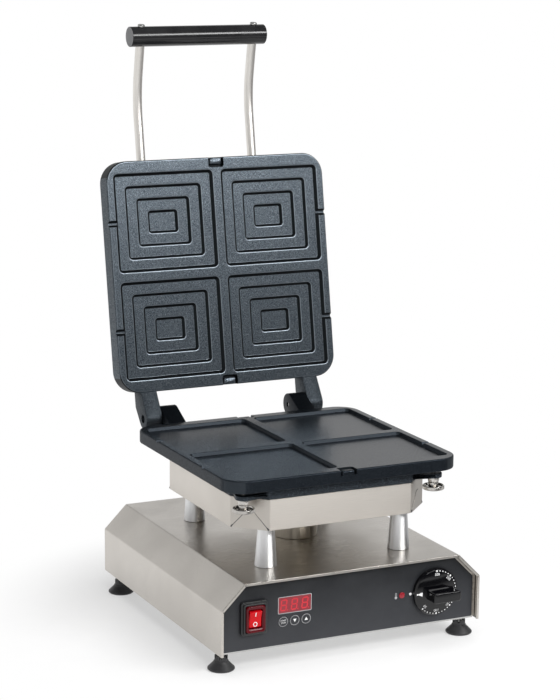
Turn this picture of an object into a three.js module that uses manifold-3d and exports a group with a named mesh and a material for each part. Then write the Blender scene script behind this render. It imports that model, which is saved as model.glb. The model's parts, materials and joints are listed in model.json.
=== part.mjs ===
import * as THREE from "three";
import { mergeVertices } from "three/addons/utils/BufferGeometryUtils.js";
import Module from "manifold-3d";

// Countertop jaffle iron with a stainless base, a lower unit on four legs and a hinged lid.
// Millimetres, +Z up, front towards -Y. The lid is modelled closed, about its hinge axis, and then opened.

const wasm = await Module();
wasm.setup();

// Shared clearances
const seat = 0.3;
const running = 0.3;
const overrun = 2;
const lidGap = 0.4;

// Folded stainless base cover
const baseWidth = 340;
const baseDepth = 365;
const coverHeight = 84;
const coverChamfer = 29.5;
const footClearance = 23.6;
const sheet = 1.5;
const hem = 2.8;
const hemReliefRadius = 1.1;

// Chassis tray with its front and rear walls
const panelRecess = 7.5;
const wallSideInset = 4;
const wallTopInset = 1.9;
const chassisFlange = 14;
const ventSlotLength = 34;
const ventSlotHeight = 3.2;
const ventPitch = 8;
const ventCount = 5;
const ventRow = 30;
const ventInset = 85;

// Printed foil on the front wall
const foilThickness = 0.8;
const foilSideInset = 5.8;
const foilTopInset = 3.4;
const foilRise = 2.3;

// Controls: insets are from the sides of the base, rises and drops from the middle of the cover's height
const controlDrop = 1.5;
const switchInset = 43;
const switchFrameWidth = 33.4;
const switchFrameHeight = 40.4;
const switchFrameStep = 4;
const switchCollarWidth = 29;
const switchCollarHeight = 36.5;
const switchCollarDepth = 7;
const switchBezelWidth = 24.5;
const switchBezelHeight = 32;
const switchBezelDepth = 9;
const switchCorner = 3;
const rockerWidth = 15.5;
const rockerHeight = 21;
const rockerPivotDepth = 6;
const rockerFaceRise = 4.6;
const rockerPlay = 0.5;
const rockerTilt = 8;
const switchBodyWidth = 22;
const switchBodyHeight = 30;
const switchBodyLength = 24;
const tabLength = 8;
const tabWidth = 6.3;
const tabThickness = 0.8;

const displayPitch = 53.4;
const displayRise = 7.6;
const windowWidth = 41.9;
const windowHeight = 19.1;
const windowSeat = 1.2;
const windowCorner = 1;
const keyDrop = 12.2;
const keyPitch = 14.75;
const keyRadius = 6.25;
const keyThickness = 0.5;
const keyProud = 0.3;
const keyStemRadius = 2;
const keyTravel = 0.5;
const boardWidth = 70;
const boardHeight = 52;
const boardThickness = 1.6;
const boardSetback = 9;
const digitDepth = 6.4;
const digitMargin = 2.2;
const tactSize = 6;
const tactHeight = 3.6;
const postRadius = 2.6;

const lampPitch = 43.6;
const dialDrop = 1;
const lampRadius = 4.45;
const lampRise = 1.6;
const lampBarrelRadius = 3.6;
const lampBarrelLength = 22;

const dialInset = 59;
const dialRadius = 29;
const dialFace = 6;
const dialGap = 0.8;
const dialCavity = 2.4;
const dialRim = 2.2;
const gripLength = 36;
const gripThickness = 9.8;
const gripRise = 22;
const gripRootSpread = 1.6;
const gripCorner = 2.5;
const spindleRadius = 3;
const spindleLength = 24;
const spindleInBody = 8;
const thermostatWidth = 36;
const thermostatHeight = 34;
const thermostatDepth = 26;
const bushRadius = 5;

const terminalWidth = 58;
const terminalDepth = 20;
const terminalHeight = 18;
const terminalY = 70;
const terminalWays = 5;
const terminalWell = 3.8;
const glandInset = 50;
const glandRow = 26;
const glandRadius = 9;
const glandBore = 4.6;
const glandNutFlats = 22;
const glandNutThickness = 6;
const glandLength = 18;

// Feet
const footInsetX = 11.8;
const footInsetY = 26.6;
const footRadius = 16.1;
const footEdge = 2.6;
const footFlareHeight = 10.5;
const footCollarRadius = 7.7;
const footNeckRadius = 8.6;
const footCollarTop = 17;
const footNotchDepth = 3;
const footNotchWidth = 2.4;
const footNotches = 6;
const studRadius = 4;
const studTop = 40;
const studSocket = 5;
const weldNutFlats = 15;
const weldNutHeight = 6.5;

// Legs, wiring duct and lower housing
const unitY = -22;
const legInsetX = 39.8;
const legInsetY = 20.75;
const legFootRadius = 13.3;
const legTopRadius = 10;
const legHeight = 46.8;
const legStudRadius = 3;
const legStudReach = 9;
const legNutRoom = 8;
const ductRadius = 28;
const ductWall = 2;
const ductHole = 22;
const housingSideInset = 23.85;
const housingFrontInset = 17.25;
const housingRearInset = 26.25;
const housingCorner = 34.8;
const housingHeight = 37.5;
const housingSheet = 1.2;
const housingLip = 3.5;
const linkGlandX = 60;
const linkGlandRise = 19;
const linkGlandRadius = 6.5;
const linkGlandFlange = 9;
const linkGlandFlangeThickness = 2;
const linkGlandBore = 3.2;

// Heater block, element and insulation, alike in the lower unit and in the lid
const blockHeight = 14.3;
const blockProud = 1.2;
const earInsetX = 2.9;
const earInsetY = 3.8;
const earRadius = 10;
const earThickness = 5.5;
const earDrop = 5.6;
const bulbRadius = 3;
const bulbLength = 90;
const bulbX = -30;
const elementRadius = 4;
const elementInset = 34;
const elementBend = 22;
const elementRuns = 4;
const elementSteps = 38;
const elementSides = 5;
const elementTail = 10;
const clampInsetX = 33;
const clampInsetY = 37;
const clampThickness = 2;
const clampSlotWidth = 8;
const insulationInset = 2;
const insulationHole = 30;

// Baking plates
const plateSideRim = 9.55;
const plateEndRim = 15.85;
const plateCorner = 28;
const plateEdge = 1.2;
const lowerPlateThickness = 15.3;
const upperPlateThickness = 24.5;
const pocketWidth = 136.4;
const pocketDepth = 124.7;
const pocketLandX = 11.8;
const pocketLandY = 12.4;
const pocketCorner = 6;
const pocketEdge = 0.7;
const pocketDraft = 0.6;
const lowerPocketDrop = 6.5;
const stepInset = 16;
const firstStepDrop = 7;
const nextStepDrop = 4.6;
const stepCount = 4;
const stepCornerLoss = 0.6;
const rimVentWidth = 5.5;
const rimVentDrop = 3.2;
const notchHalfWidth = 10.4;
const notchReach = 9.6;
const notchDrop = 6;
const notchTabWidth = 12;
const notchTabReach = 5.6;
const notchTabDrop = 3.4;

// Hinge
const hingeReach = 33.15;
const lugInset = 27.25;
const lugWidth = 21.6;
const knuckleGap = 0.4;
const knuckleWidth = 23.1;
const lugNose = 13;
const lugBack = 19;
const knuckleRadius = 14.5;
const pinShoulderRadius = 5;
const pinShankRadius = 2.8;
const pinHeadSink = 5;
const pinEndSink = 1.2;
const lidOpenAngle = 99.9;

// Thumb screws under the ears
const thumbRadius = 13.4;
const thumbDisc = 5;
const thumbTeeth = 16;
const thumbToothDepth = 0.6;
const thumbDish = 2;
const thumbDishInner = 7;
const thumbDishOuter = 11.4;
const thumbNeckRadius = 6.1;
const thumbShoulderRadius = 7.1;
const thumbNeckLength = 10;
const thumbScrewRadius = 3;
const thumbBite = 7;

// Handle
const rodBlockSide = 1.2;
const rodRadius = 6;
const rodRise = 60.5;
const rodBendAngle = 20;
const rodBendRadius = 170;
const rodSides = 12;
const rodSteps = 12;
const gripBarOverhang = 15.4;
const gripBarRadius = 12.9;
const gripBarClear = 159.25;
const gripBarRise = 33.3;
const gripBarEdge = 0.6;
const rodSocket = 9;
const handleScrewRadius = 2.5;
const handleScrewHead = 4.6;
const handleScrewHeadHeight = 2.6;
const handleScrewBite = 12;
const rodAnchor = 26;
const rodBlockWidth = 26;
const rodBlockLength = 34;
const rodBlockWall = 5;
const rodBlockFoot = 4;

// Facet counts
const roundSides = 20;
const holeSides = 8;
const footSides = 16;
const stepSides = 2;
const plateSides = 5;
const smallSides = 12;
const cornerSides = 3;
const keySides = 16;
const dialSides = 40;

// Places that follow from the sizes above
const coverBottom = footClearance;
const coverTop = coverBottom + coverHeight;
const frontY = -baseDepth / 2;
const foilY = frontY + panelRecess;
const wallY = foilY + foilThickness + seat;
const wallBackY = wallY + sheet;
const panelMiddle = coverHeight / 2;
const controlRow = panelMiddle - controlDrop;
const displayHeight = panelMiddle + displayRise;
const keyHeight = panelMiddle - keyDrop;
const lampRow = panelMiddle - dialDrop;
const switchX = switchInset - baseWidth / 2;
const displayX = switchX + displayPitch;
const dialX = baseWidth / 2 - dialInset;
const lampX = dialX - lampPitch;
const ventX = baseWidth / 2 - ventInset;
const glandX = glandInset - baseWidth / 2;
const footX = baseWidth / 2 - footInsetX;
const footY = baseDepth / 2 - footInsetY;

const pocketPitchX = pocketWidth + pocketLandX;
const pocketPitchY = pocketDepth + pocketLandY;
const plateWidth = pocketPitchX + pocketWidth + 2 * plateSideRim;
const plateDepth = pocketPitchY + pocketDepth + 2 * plateEndRim;
const plateY = unitY + (housingRearInset - housingFrontInset) / 2;
const housingWidth = plateWidth - 2 * housingSideInset;
const housingDepth = plateDepth - housingFrontInset - housingRearInset;
const legX = housingWidth / 2 - legInsetX;
const legPitchY = housingDepth - 2 * legInsetY;
const clampWidth = housingWidth - 2 * clampInsetX;
const clampDepth = housingDepth - 2 * clampInsetY;
const earX = housingWidth / 2 - earInsetX;
const earY = housingDepth / 2 - earInsetY + plateY - unitY;
const rodX = housingWidth / 2 - housingCorner - rodBlockSide - rodBlockWidth / 2;

const legBottom = coverTop + seat;
const legTop = legBottom + legHeight;
const housingBottom = legTop + seat;
const blockBottom = housingBottom + housingHeight + seat;
const blockTop = blockBottom + blockHeight;
const plateBottom = blockTop + seat;
const hingeZ = plateBottom + lowerPlateThickness;
const plateRear = plateY + plateDepth / 2;
const hingeY = plateRear + hingeReach;
const lugOuter = plateWidth / 2 - lugInset;
const lugInner = lugOuter - lugWidth;
const knuckleOuter = lugInner - knuckleGap;
const knuckleInner = knuckleOuter - knuckleWidth;
const lidPlateY = plateY - hingeY;
const lidPlateTop = lidGap + upperPlateThickness;
const lidUnitY = unitY - hingeY;
const gripBarReach = plateDepth / 2 + gripBarClear;
const gripBarLength = 2 * (rodX + gripBarOverhang);

const stackHeight = 2 * elementRadius + clampThickness + 3 * seat;
const insulationThickness = housingHeight - housingSheet - stackHeight;

// Finishes
const steel = { color: 0xc5c0ba, roughness: 0.34, metalness: 0.9 };
const polished = { color: 0xd8d8d6, roughness: 0.16, metalness: 0.95 };
const foilDark = { color: 0x2b2e33, roughness: 0.45, metalness: 0.0 };
const blackPlastic = { color: 0x17181a, roughness: 0.35, metalness: 0.0 };
const redLens = { color: 0xc4121a, roughness: 0.2, metalness: 0.0 };
const darkRed = { color: 0x5a0d12, roughness: 0.3, metalness: 0.0 };
const castCoated = { color: 0x4a545c, roughness: 0.5, metalness: 0.35 };
const castDark = { color: 0x2b333d, roughness: 0.55, metalness: 0.3 };
const rubber = { color: 0x1b1b1c, roughness: 0.7, metalness: 0.0 };
const gloss = { color: 0x141516, roughness: 0.18, metalness: 0.0 };
const board = { color: 0x2f5a3a, roughness: 0.6, metalness: 0.0 };
const brass = { color: 0xb59a5b, roughness: 0.35, metalness: 0.9 };
const wool = { color: 0xd9d3c0, roughness: 0.95, metalness: 0.0 };
const ceramic = { color: 0xd8d4cc, roughness: 0.6, metalness: 0.0 };

// Turns a closed three.js geometry into a solid that faces outwards.
function solid(geometry) {
  const bare = new THREE.BufferGeometry();
  bare.setAttribute("position", geometry.getAttribute("position"));
  if (geometry.index) bare.setIndex(geometry.index);
  const merged = mergeVertices(bare, 1e-4);
  const triVerts = new Uint32Array(merged.index.array);
  const vertProperties = merged.attributes.position.array;
  const made = new wasm.Manifold(new wasm.Mesh({ numProp: 3, vertProperties, triVerts }));
  if (made.volume() > 0) return made;
  const turned = triVerts.slice();
  for (let i = 0; i < turned.length; i += 3) {
    turned[i] = triVerts[i + 1];
    turned[i + 1] = triVerts[i];
  }
  return new wasm.Manifold(new wasm.Mesh({ numProp: 3, vertProperties, triVerts: turned }));
}

function union(parts) {
  return parts.reduce((whole, part) => whole.add(part));
}

function cut(body, tools) {
  return tools.reduce((whole, tool) => whole.subtract(tool), body);
}

function geometryOf(body) {
  const mesh = body.getMesh();
  const geometry = new THREE.BufferGeometry();
  geometry.setAttribute("position", new THREE.BufferAttribute(new Float32Array(mesh.vertProperties), 3));
  geometry.setIndex(new THREE.BufferAttribute(new Uint32Array(mesh.triVerts), 1));
  const loose = geometry.toNonIndexed();
  loose.computeVertexNormals();
  return loose;
}

// A box between two corners.
function box(low, high) {
  const size = high.map((value, i) => value - low[i]);
  const geometry = new THREE.BoxGeometry(...size);
  geometry.translate(...low.map((value, i) => value + size[i] / 2));
  return solid(geometry);
}

// An outline in the XY plane, raised from low to high.
function prismZ(shape, low, high) {
  const geometry = new THREE.ExtrudeGeometry(shape, { depth: high - low, bevelEnabled: false });
  geometry.translate(0, 0, low);
  return solid(geometry);
}

// An outline in the XZ plane, run from the near y to the far y.
function prismY(shape, near, far) {
  const geometry = new THREE.ExtrudeGeometry(shape, { depth: far - near, bevelEnabled: false });
  geometry.rotateX(Math.PI / 2);
  geometry.translate(0, far, 0);
  return solid(geometry);
}

// An outline in the YZ plane, run from the left x to the right x.
function prismX(shape, left, right) {
  const geometry = new THREE.ExtrudeGeometry(shape, { depth: right - left, bevelEnabled: false });
  geometry.rotateY(Math.PI / 2);
  geometry.rotateX(Math.PI / 2);
  geometry.translate(left, 0, 0);
  return solid(geometry);
}

// A section run along a path.
function swept(section, extrudePath, steps) {
  return solid(new THREE.ExtrudeGeometry(section, { steps, bevelEnabled: false, extrudePath }));
}

// A turned piece: profile points are [radius, height along Z].
function turned(profile, sides = roundSides) {
  const points = profile.map(([radius, height]) => new THREE.Vector2(radius, height));
  const geometry = new THREE.LatheGeometry(points, sides);
  geometry.rotateX(Math.PI / 2);
  return solid(geometry);
}

function cylinderZ(radius, low, high, sides = smallSides) {
  return turned([[0, low], [radius, low], [radius, high], [0, high]], sides);
}

// The same along Y, from the near y to the far y.
function cylinderY(radius, near, far, sides = smallSides) {
  return cylinderZ(radius, -far, -near, sides).rotate([90, 0, 0]);
}

function cylinderX(radius, left, right, sides = smallSides) {
  return cylinderZ(radius, left, right, sides).rotate([0, 90, 0]);
}

// A solid through convex rings of points, each ring with as many points as the next.
function loft(rings) {
  const count = rings[0].length;
  const positions = rings.flat().flatMap((point) => [point.x, point.y, point.z]);
  const index = [];
  for (let r = 0; r + 1 < rings.length; r += 1) {
    for (let i = 0; i < count; i += 1) {
      const a = r * count + i;
      const b = r * count + ((i + 1) % count);
      index.push(a, b, b + count, a, b + count, a + count);
    }
  }
  const top = (rings.length - 1) * count;
  for (let i = 1; i + 1 < count; i += 1) {
    index.push(0, i + 1, i);
    index.push(top, top + i, top + i + 1);
  }
  const geometry = new THREE.BufferGeometry();
  geometry.setAttribute("position", new THREE.Float32BufferAttribute(positions, 3));
  geometry.setIndex(index);
  return solid(geometry);
}

// A ring of points round a rectangle with round corners.
function roundRing(width, depth, corner, z, segments = cornerSides) {
  const ring = [];
  for (const [sideX, sideY, start] of [[1, 1, 0], [-1, 1, 1], [-1, -1, 2], [1, -1, 3]]) {
    for (let i = 0; i <= segments; i += 1) {
      const angle = ((start + i / segments) * Math.PI) / 2;
      const x = sideX * (width / 2 - corner) + corner * Math.cos(angle);
      const y = sideY * (depth / 2 - corner) + corner * Math.sin(angle);
      ring.push(new THREE.Vector3(x, y, z));
    }
  }
  return ring;
}

function roundRect(width, height, corner, segments = cornerSides) {
  const ring = roundRing(width, height, corner, 0, segments);
  return new THREE.Shape(ring.map((point) => new THREE.Vector2(point.x, point.y)));
}

function moved(shape, x, y) {
  return new THREE.Shape(shape.getPoints().map((point) => new THREE.Vector2(point.x + x, point.y + y)));
}

function polygon(points) {
  return new THREE.Shape(points.map(([x, y]) => new THREE.Vector2(x, y)));
}

// The hull of two circles or of a circle and points, as an outline round them.
function hull(points) {
  const sorted = [...points].sort((a, b) => a[0] - b[0] || a[1] - b[1]);
  const half = (list) => {
    const chain = [];
    for (const p of list) {
      while (chain.length > 1) {
        const [q, r] = chain.slice(-2);
        if ((r[0] - q[0]) * (p[1] - q[1]) - (r[1] - q[1]) * (p[0] - q[0]) > 0) break;
        chain.pop();
      }
      chain.push(p);
    }
    return chain.slice(0, -1);
  };
  return [...half(sorted), ...half(sorted.reverse())];
}

function circlePoints(centre, radius, sides = roundSides) {
  return Array.from({ length: sides }, (_, i) => {
    const angle = (2 * Math.PI * i) / sides;
    return [centre[0] + radius * Math.cos(angle), centre[1] + radius * Math.sin(angle)];
  });
}

// A hexagonal prism about Z.
function hexagon(flats, low, high) {
  return prismZ(polygon(circlePoints([0, 0], flats / Math.sqrt(3), 6)), low, high);
}

const machine = new THREE.Group();
const lid = new THREE.Group();

function place(name, body, finish, parent = machine) {
  const mesh = new THREE.Mesh(geometryOf(body), new THREE.MeshStandardMaterial(finish));
  mesh.name = name;
  parent.add(mesh);
  return mesh;
}

// The cover's outline in XZ, set in by its own amounts at the sides, the top and the slopes.
function coverOutline(sideInset, topInset, slopeInset, bottom) {
  const side = baseWidth / 2 - sideInset;
  const top = coverTop - topInset;
  const slope = baseWidth / 2 + coverTop - coverChamfer - slopeInset * Math.SQRT2;
  const corner = [side, slope - side];
  const shoulder = [slope - top, top];
  return polygon([
    [-side, bottom],
    [side, bottom],
    corner,
    shoulder,
    [-shoulder[0], top],
    [-side, corner[1]],
  ]);
}

function legPlaces() {
  const places = [];
  for (const [front, y] of [["front", unitY - legPitchY / 2], ["rear", unitY + legPitchY / 2]]) {
    for (const [side, x] of [["left", -legX], ["right", legX]]) places.push([`${front}_${side}`, x, y]);
  }
  return places;
}

function footPlaces() {
  const places = [];
  for (const [front, y] of [["front", -footY], ["rear", footY]]) {
    for (const [side, x] of [["left", -footX], ["right", footX]]) places.push([`${front}_${side}`, x, y]);
  }
  return places;
}

// Folded cover: a bent sheet, open below, with a hem round its front and rear edges.
function makeCover() {
  const below = coverBottom - overrun;
  const ends = [frontY - overrun, -frontY + overrun];
  const shell = prismY(coverOutline(0, 0, 0, coverBottom), frontY, -frontY);
  const inside = prismY(coverOutline(sheet, sheet, sheet, below), frontY + sheet, -frontY - sheet);
  const mouth = prismY(coverOutline(hem, hem, hem, below), ...ends);
  const reliefs = [];
  const inset = hemReliefRadius;
  const side = baseWidth / 2 - inset;
  const shoulder = baseWidth / 2 - coverChamfer;
  for (const [x, z] of [[side, coverTop - coverChamfer], [shoulder, coverTop - inset]]) {
    for (const sign of [-1, 1]) {
      for (const near of [frontY - overrun, -frontY - sheet]) {
        const relief = cylinderY(hemReliefRadius, near, near + sheet + overrun, holeSides);
        reliefs.push(relief.translate([sign * x, 0, z]));
      }
    }
  }
  const drill = (radius, sides) => cylinderZ(radius, coverTop - sheet - overrun, coverTop + overrun, sides);
  const holes = legPlaces().map(([, x, y]) => drill(legStudRadius + running, holeSides).translate([x, y, 0]));
  const wiring = drill(ductHole, roundSides).translate([0, unitY, 0]);
  return cut(shell, [inside, mouth, ...reliefs, ...holes, wiring]);
}

function panelPoint(x, height) {
  return [x, coverBottom + height];
}

function keyPlaces() {
  return ["start", "down", "up"].map((name, i) => [name, displayX + (i - 1) * keyPitch]);
}

// Openings that the front wall and the foil share, each by its own margin.
function panelCuts(near, far, margin, keyHole, sides) {
  const [sx, sz] = panelPoint(switchX, controlRow);
  const [dx, dz] = panelPoint(displayX, displayHeight);
  const [lx, lz] = panelPoint(lampX, lampRow);
  const [kx, kz] = panelPoint(dialX, lampRow);
  const switchHole = roundRect(switchBodyWidth + 2 * running, switchBodyHeight + 2 * running, switchCorner);
  const windowHole = roundRect(windowWidth + 2 * margin, windowHeight + 2 * margin, windowCorner);
  const cuts = [prismY(moved(switchHole, sx, sz), near, far)];
  cuts.push(prismY(moved(windowHole, dx, dz), near, far));
  cuts.push(cylinderY(lampBarrelRadius + running, near, far).translate([lx, 0, lz]));
  cuts.push(cylinderY(bushRadius + running, near, far).translate([kx, 0, kz]));
  for (const [, x] of keyPlaces()) {
    cuts.push(cylinderY(keyHole, near, far, sides).translate([x, 0, coverBottom + keyHeight]));
  }
  return cuts;
}

// Chassis: a floor with side flanges, a front and a rear wall, and a weld nut over each foot.
function makeChassis() {
  const side = baseWidth / 2 - wallSideInset;
  const rearY = -wallY;
  const floorTop = coverBottom + sheet;
  const nutTop = floorTop + weldNutHeight;
  const wall = coverOutline(wallSideInset, wallTopInset, wallTopInset, coverBottom);
  const parts = [
    box([-side, wallY, coverBottom], [side, rearY, floorTop]),
    prismY(wall, wallY, wallBackY),
    prismY(wall, rearY - sheet, rearY),
  ];
  for (const sign of [-1, 1]) {
    const outer = sign * side;
    const inner = sign * (side - sheet);
    const low = [Math.min(outer, inner), wallY, coverBottom];
    parts.push(box(low, [Math.max(outer, inner), rearY, coverBottom + chassisFlange]));
  }
  for (const [, x, y] of footPlaces()) {
    parts.push(hexagon(weldNutFlats, floorTop - sheet / 2, nutTop).translate([x, y, 0]));
  }
  const studHole = cylinderZ(studRadius + 2 * running, coverBottom - overrun, nutTop + overrun, holeSides);
  const tools = footPlaces().map(([, x, y]) => studHole.translate([x, y, 0]));
  const through = [wallY - overrun, wallBackY + overrun];
  tools.push(...panelCuts(...through, -windowSeat, keyStemRadius + running, holeSides));
  const rearWall = [rearY - sheet - overrun, rearY + overrun];
  for (let i = 0; i < ventCount; i += 1) {
    const z = coverBottom + ventRow + (i - (ventCount - 1) / 2) * ventPitch;
    const slot = moved(roundRect(ventSlotLength, ventSlotHeight, ventSlotHeight / 3, 1), ventX, z);
    tools.push(prismY(slot, ...rearWall));
  }
  const [gx, gz] = panelPoint(glandX, glandRow);
  tools.push(cylinderY(glandRadius + running, ...rearWall).translate([gx, 0, gz]));
  return cut(union(parts), tools);
}

function makeFoil() {
  const outline = coverOutline(foilSideInset, foilTopInset, foilTopInset, coverBottom + foilRise);
  const body = prismY(outline, foilY, foilY + foilThickness);
  return cut(body, panelCuts(foilY - overrun, foilY + foilThickness + overrun, running, keyRadius, keySides));
}

// Frame of the main switch: a flange and a raised collar round a round-cornered opening.
function makeSwitchFrame() {
  const [x, z] = panelPoint(switchX, controlRow);
  const back = foilY - seat;
  const flange = moved(roundRect(switchFrameWidth, switchFrameHeight, switchCorner), x, z);
  const collar = moved(roundRect(switchCollarWidth, switchCollarHeight, switchCorner), x, z);
  const gap = 2 * seat;
  const opening = moved(roundRect(switchBezelWidth + gap, switchBezelHeight + gap, switchCorner), x, z);
  const step = prismY(flange, foilY - switchFrameStep, back);
  const body = step.add(prismY(collar, foilY - switchCollarDepth, back));
  return cut(body, [prismY(opening, foilY - switchCollarDepth - overrun, foilY + overrun)]);
}

function rockerPivotY() {
  return foilY - switchBezelDepth + rockerPivotDepth;
}

// Body of the switch: a red bezel in front, a black box behind the wall and two spade tabs.
function makeSwitchBody() {
  const [x, z] = panelPoint(switchX, controlRow);
  const bezel = moved(roundRect(switchBezelWidth, switchBezelHeight, switchCorner), x, z);
  const rear = moved(roundRect(switchBodyWidth, switchBodyHeight, switchCorner), x, z);
  const parts = [prismY(bezel, foilY - switchBezelDepth, foilY - seat)];
  parts.push(prismY(rear, foilY - 2 * seat, wallBackY + switchBodyLength));
  for (const sign of [-1, 1]) {
    const tz = z + (sign * switchBodyHeight) / 4;
    const tabY = wallBackY + switchBodyLength;
    const low = [x - tabWidth / 2, tabY - overrun, tz - tabThickness / 2];
    parts.push(box(low, [x + tabWidth / 2, tabY + tabLength, tz + tabThickness / 2]));
  }
  const well = rockerHeight / 2 + rockerPlay;
  const floor = rockerPivotY() + well;
  const opening = [
    [x - rockerWidth / 2 - rockerPlay, foilY - switchBezelDepth - overrun, z - well],
    [x + rockerWidth / 2 + rockerPlay, floor, z + well],
  ];
  return union(parts).subtract(box(...opening));
}

// Rocker: a round-backed key whose two faces meet in a shallow valley, drawn about its pivot.
function makeRocker() {
  const radius = rockerHeight / 2;
  const arc = [];
  const reach = Math.asin(rockerFaceRise / radius);
  for (let i = 0; i <= smallSides; i += 1) {
    const angle = -reach + ((Math.PI + 2 * reach) * i) / smallSides;
    arc.push([radius * Math.sin(angle), radius * Math.cos(angle)]);
  }
  const valley = rockerFaceRise - radius * Math.tan(THREE.MathUtils.degToRad(rockerTilt));
  const outline = arc.map(([along, height]) => [along, height]);
  outline.push([-valley, 0]);
  const body = prismX(polygon(outline), -rockerWidth / 2, rockerWidth / 2);
  return body.rotate([rockerTilt, 0, 0]);
}

function makeWindow() {
  const [x, z] = panelPoint(displayX, displayHeight);
  const shape = moved(roundRect(windowWidth, windowHeight, windowCorner), x, z);
  return prismY(shape, foilY, foilY + foilThickness);
}

// Timer board with its three-digit display and one touch switch behind each key.
function makeTimerBoard() {
  const [x, z] = panelPoint(displayX, displayHeight);
  const front = wallBackY + boardSetback;
  const middle = coverBottom + controlRow;
  const low = [x - boardWidth / 2, front, middle - boardHeight / 2];
  const parts = [box(low, [x + boardWidth / 2, front + boardThickness, middle + boardHeight / 2])];
  const half = windowWidth / 2 - digitMargin;
  const rise = windowHeight / 2 - digitMargin;
  parts.push(box([x - half, front - digitDepth, z - rise], [x + half, front + boardThickness / 2, z + rise]));
  const keyZ = coverBottom + keyHeight;
  for (const [, kx] of keyPlaces()) {
    const corner = [kx - tactSize / 2, front - tactHeight, keyZ - tactSize / 2];
    parts.push(box(corner, [kx + tactSize / 2, front + boardThickness / 2, keyZ + tactSize / 2]));
  }
  const postX = boardWidth / 2 - 2 * postRadius;
  const postZ = boardHeight / 2 - 2 * postRadius;
  for (const sx of [-1, 1]) {
    for (const sz of [-1, 1]) {
      const post = cylinderY(postRadius, wallBackY + seat, front + boardThickness / 2, smallSides / 2);
      parts.push(post.translate([x + sx * postX, 0, middle + sz * postZ]));
    }
  }
  return union(parts);
}

// Key: a disc in the foil and a stem that reaches the touch switch behind the wall.
function makeKey() {
  const discBack = foilY - keyProud + keyThickness;
  const stemEnd = wallBackY + boardSetback - tactHeight - keyTravel - seat;
  const disc = cylinderY(keyRadius - running, foilY - keyProud, discBack, keySides);
  return disc.add(cylinderY(keyStemRadius, discBack - keyThickness / 2, stemEnd, holeSides));
}

function makeLamp() {
  const crown = lampRadius - lampRise;
  const lens = turned([
    [0, 0],
    [lampRadius, 0],
    [lampRadius, lampRise / 2],
    [crown, lampRise],
    [0, lampRise],
  ]).rotate([90, 0, 0]);
  const barrel = cylinderY(lampBarrelRadius, -lampRise / 4, foilThickness + lampBarrelLength);
  const [x, z] = panelPoint(lampX, lampRow);
  return lens.add(barrel).translate([x, foilY - seat, z]);
}

// Thermostat: a box on the back of the wall with a threaded bush through it.
function makeThermostat() {
  const [x, z] = panelPoint(dialX, lampRow);
  const near = wallBackY + seat;
  const low = [x - thermostatWidth / 2, near, z - thermostatHeight / 2];
  const body = box(low, [x + thermostatWidth / 2, near + thermostatDepth, z + thermostatHeight / 2]);
  const bush = cylinderY(bushRadius, foilY - seat, near + overrun).translate([x, 0, z]);
  const bore = cylinderY(spindleRadius + running, foilY - overrun, near + spindleInBody + seat);
  return body.add(bush).subtract(bore.translate([x, 0, z]));
}

function dialFront() {
  return foilY - dialFace;
}

function makeSpindle() {
  return cylinderY(spindleRadius, wallBackY + spindleInBody - spindleLength, wallBackY + spindleInBody);
}

// Dial knob: a hollow skirt, a boss on the spindle and a tapered grip across the face.
function makeKnob() {
  const skirtBack = foilY - dialGap;
  const front = dialFront();
  const edge = dialRim / 2;
  const profile = [
    [0, -front],
    [dialRadius - edge, -front],
    [dialRadius, -front - edge],
    [dialRadius, -skirtBack],
    [dialRadius - dialRim, -skirtBack],
    [dialRadius - dialRim, -front - dialCavity],
    [0, -front - dialCavity],
  ];
  const skirt = turned(profile, dialSides).rotate([90, 0, 0]);
  const ring = (spread, corner, rise) =>
    roundRing(gripLength + spread, gripThickness + spread, corner, rise - front);
  const root = ring(2 * gripRootSpread, gripCorner, -dialCavity / 2);
  const neck = ring(0, gripCorner, gripRootSpread);
  const shoulder = ring(0, gripCorner, gripRise - gripCorner / 2);
  const crown = ring(-gripCorner, gripCorner / 2, gripRise);
  const grip = loft([root, neck, shoulder, crown]).rotate([90, 0, 0]);
  const bore = cylinderY(spindleRadius + running, front - spindleLength, foilY + overrun);
  const keep = box([-gripLength, front - spindleInBody, -gripLength], [gripLength, foilY, gripLength]);
  return skirt.add(grip).subtract(bore.intersect(keep));
}

// Terminal block on the chassis floor with a row of wells.
function makeTerminalBlock() {
  const low = coverBottom + sheet + seat;
  const high = low + terminalHeight;
  const side = terminalWidth / 2;
  const body = box([-side, terminalY, low], [side, terminalY + terminalDepth, high]);
  const wells = [];
  for (let i = 0; i < terminalWays; i += 1) {
    const x = (i - (terminalWays - 1) / 2) * (terminalWidth / terminalWays);
    const well = cylinderZ(terminalWell, low + terminalHeight / 2, high + overrun, holeSides);
    wells.push(well.translate([x, terminalY + terminalDepth / 2, 0]));
  }
  return cut(body, wells);
}

// Mains inlet gland in the rear wall.
function makeMainsGland() {
  const [x, z] = panelPoint(glandX, glandRow);
  const wallOut = -wallY;
  const nut = hexagon(glandNutFlats, 0, glandNutThickness);
  const dome = turned([
    [0, glandNutThickness / 2],
    [glandRadius, glandNutThickness / 2],
    [glandRadius, glandLength - glandNutThickness / 2],
    [glandRadius - glandNutThickness / 2, glandLength],
    [0, glandLength],
  ], smallSides);
  const barrel = cylinderZ(glandRadius, -sheet - glandNutThickness - 2 * seat, glandNutThickness / 2);
  const lock = hexagon(glandNutFlats, -sheet - glandNutThickness - 2 * seat, -sheet - 2 * seat);
  const bore = cylinderZ(glandBore, -glandLength, glandLength + overrun);
  const body = cut(union([nut, dome, barrel, lock]), [bore]);
  return body.rotate([-90, 0, 0]).translate([x, wallOut + seat, z]);
}

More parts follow.
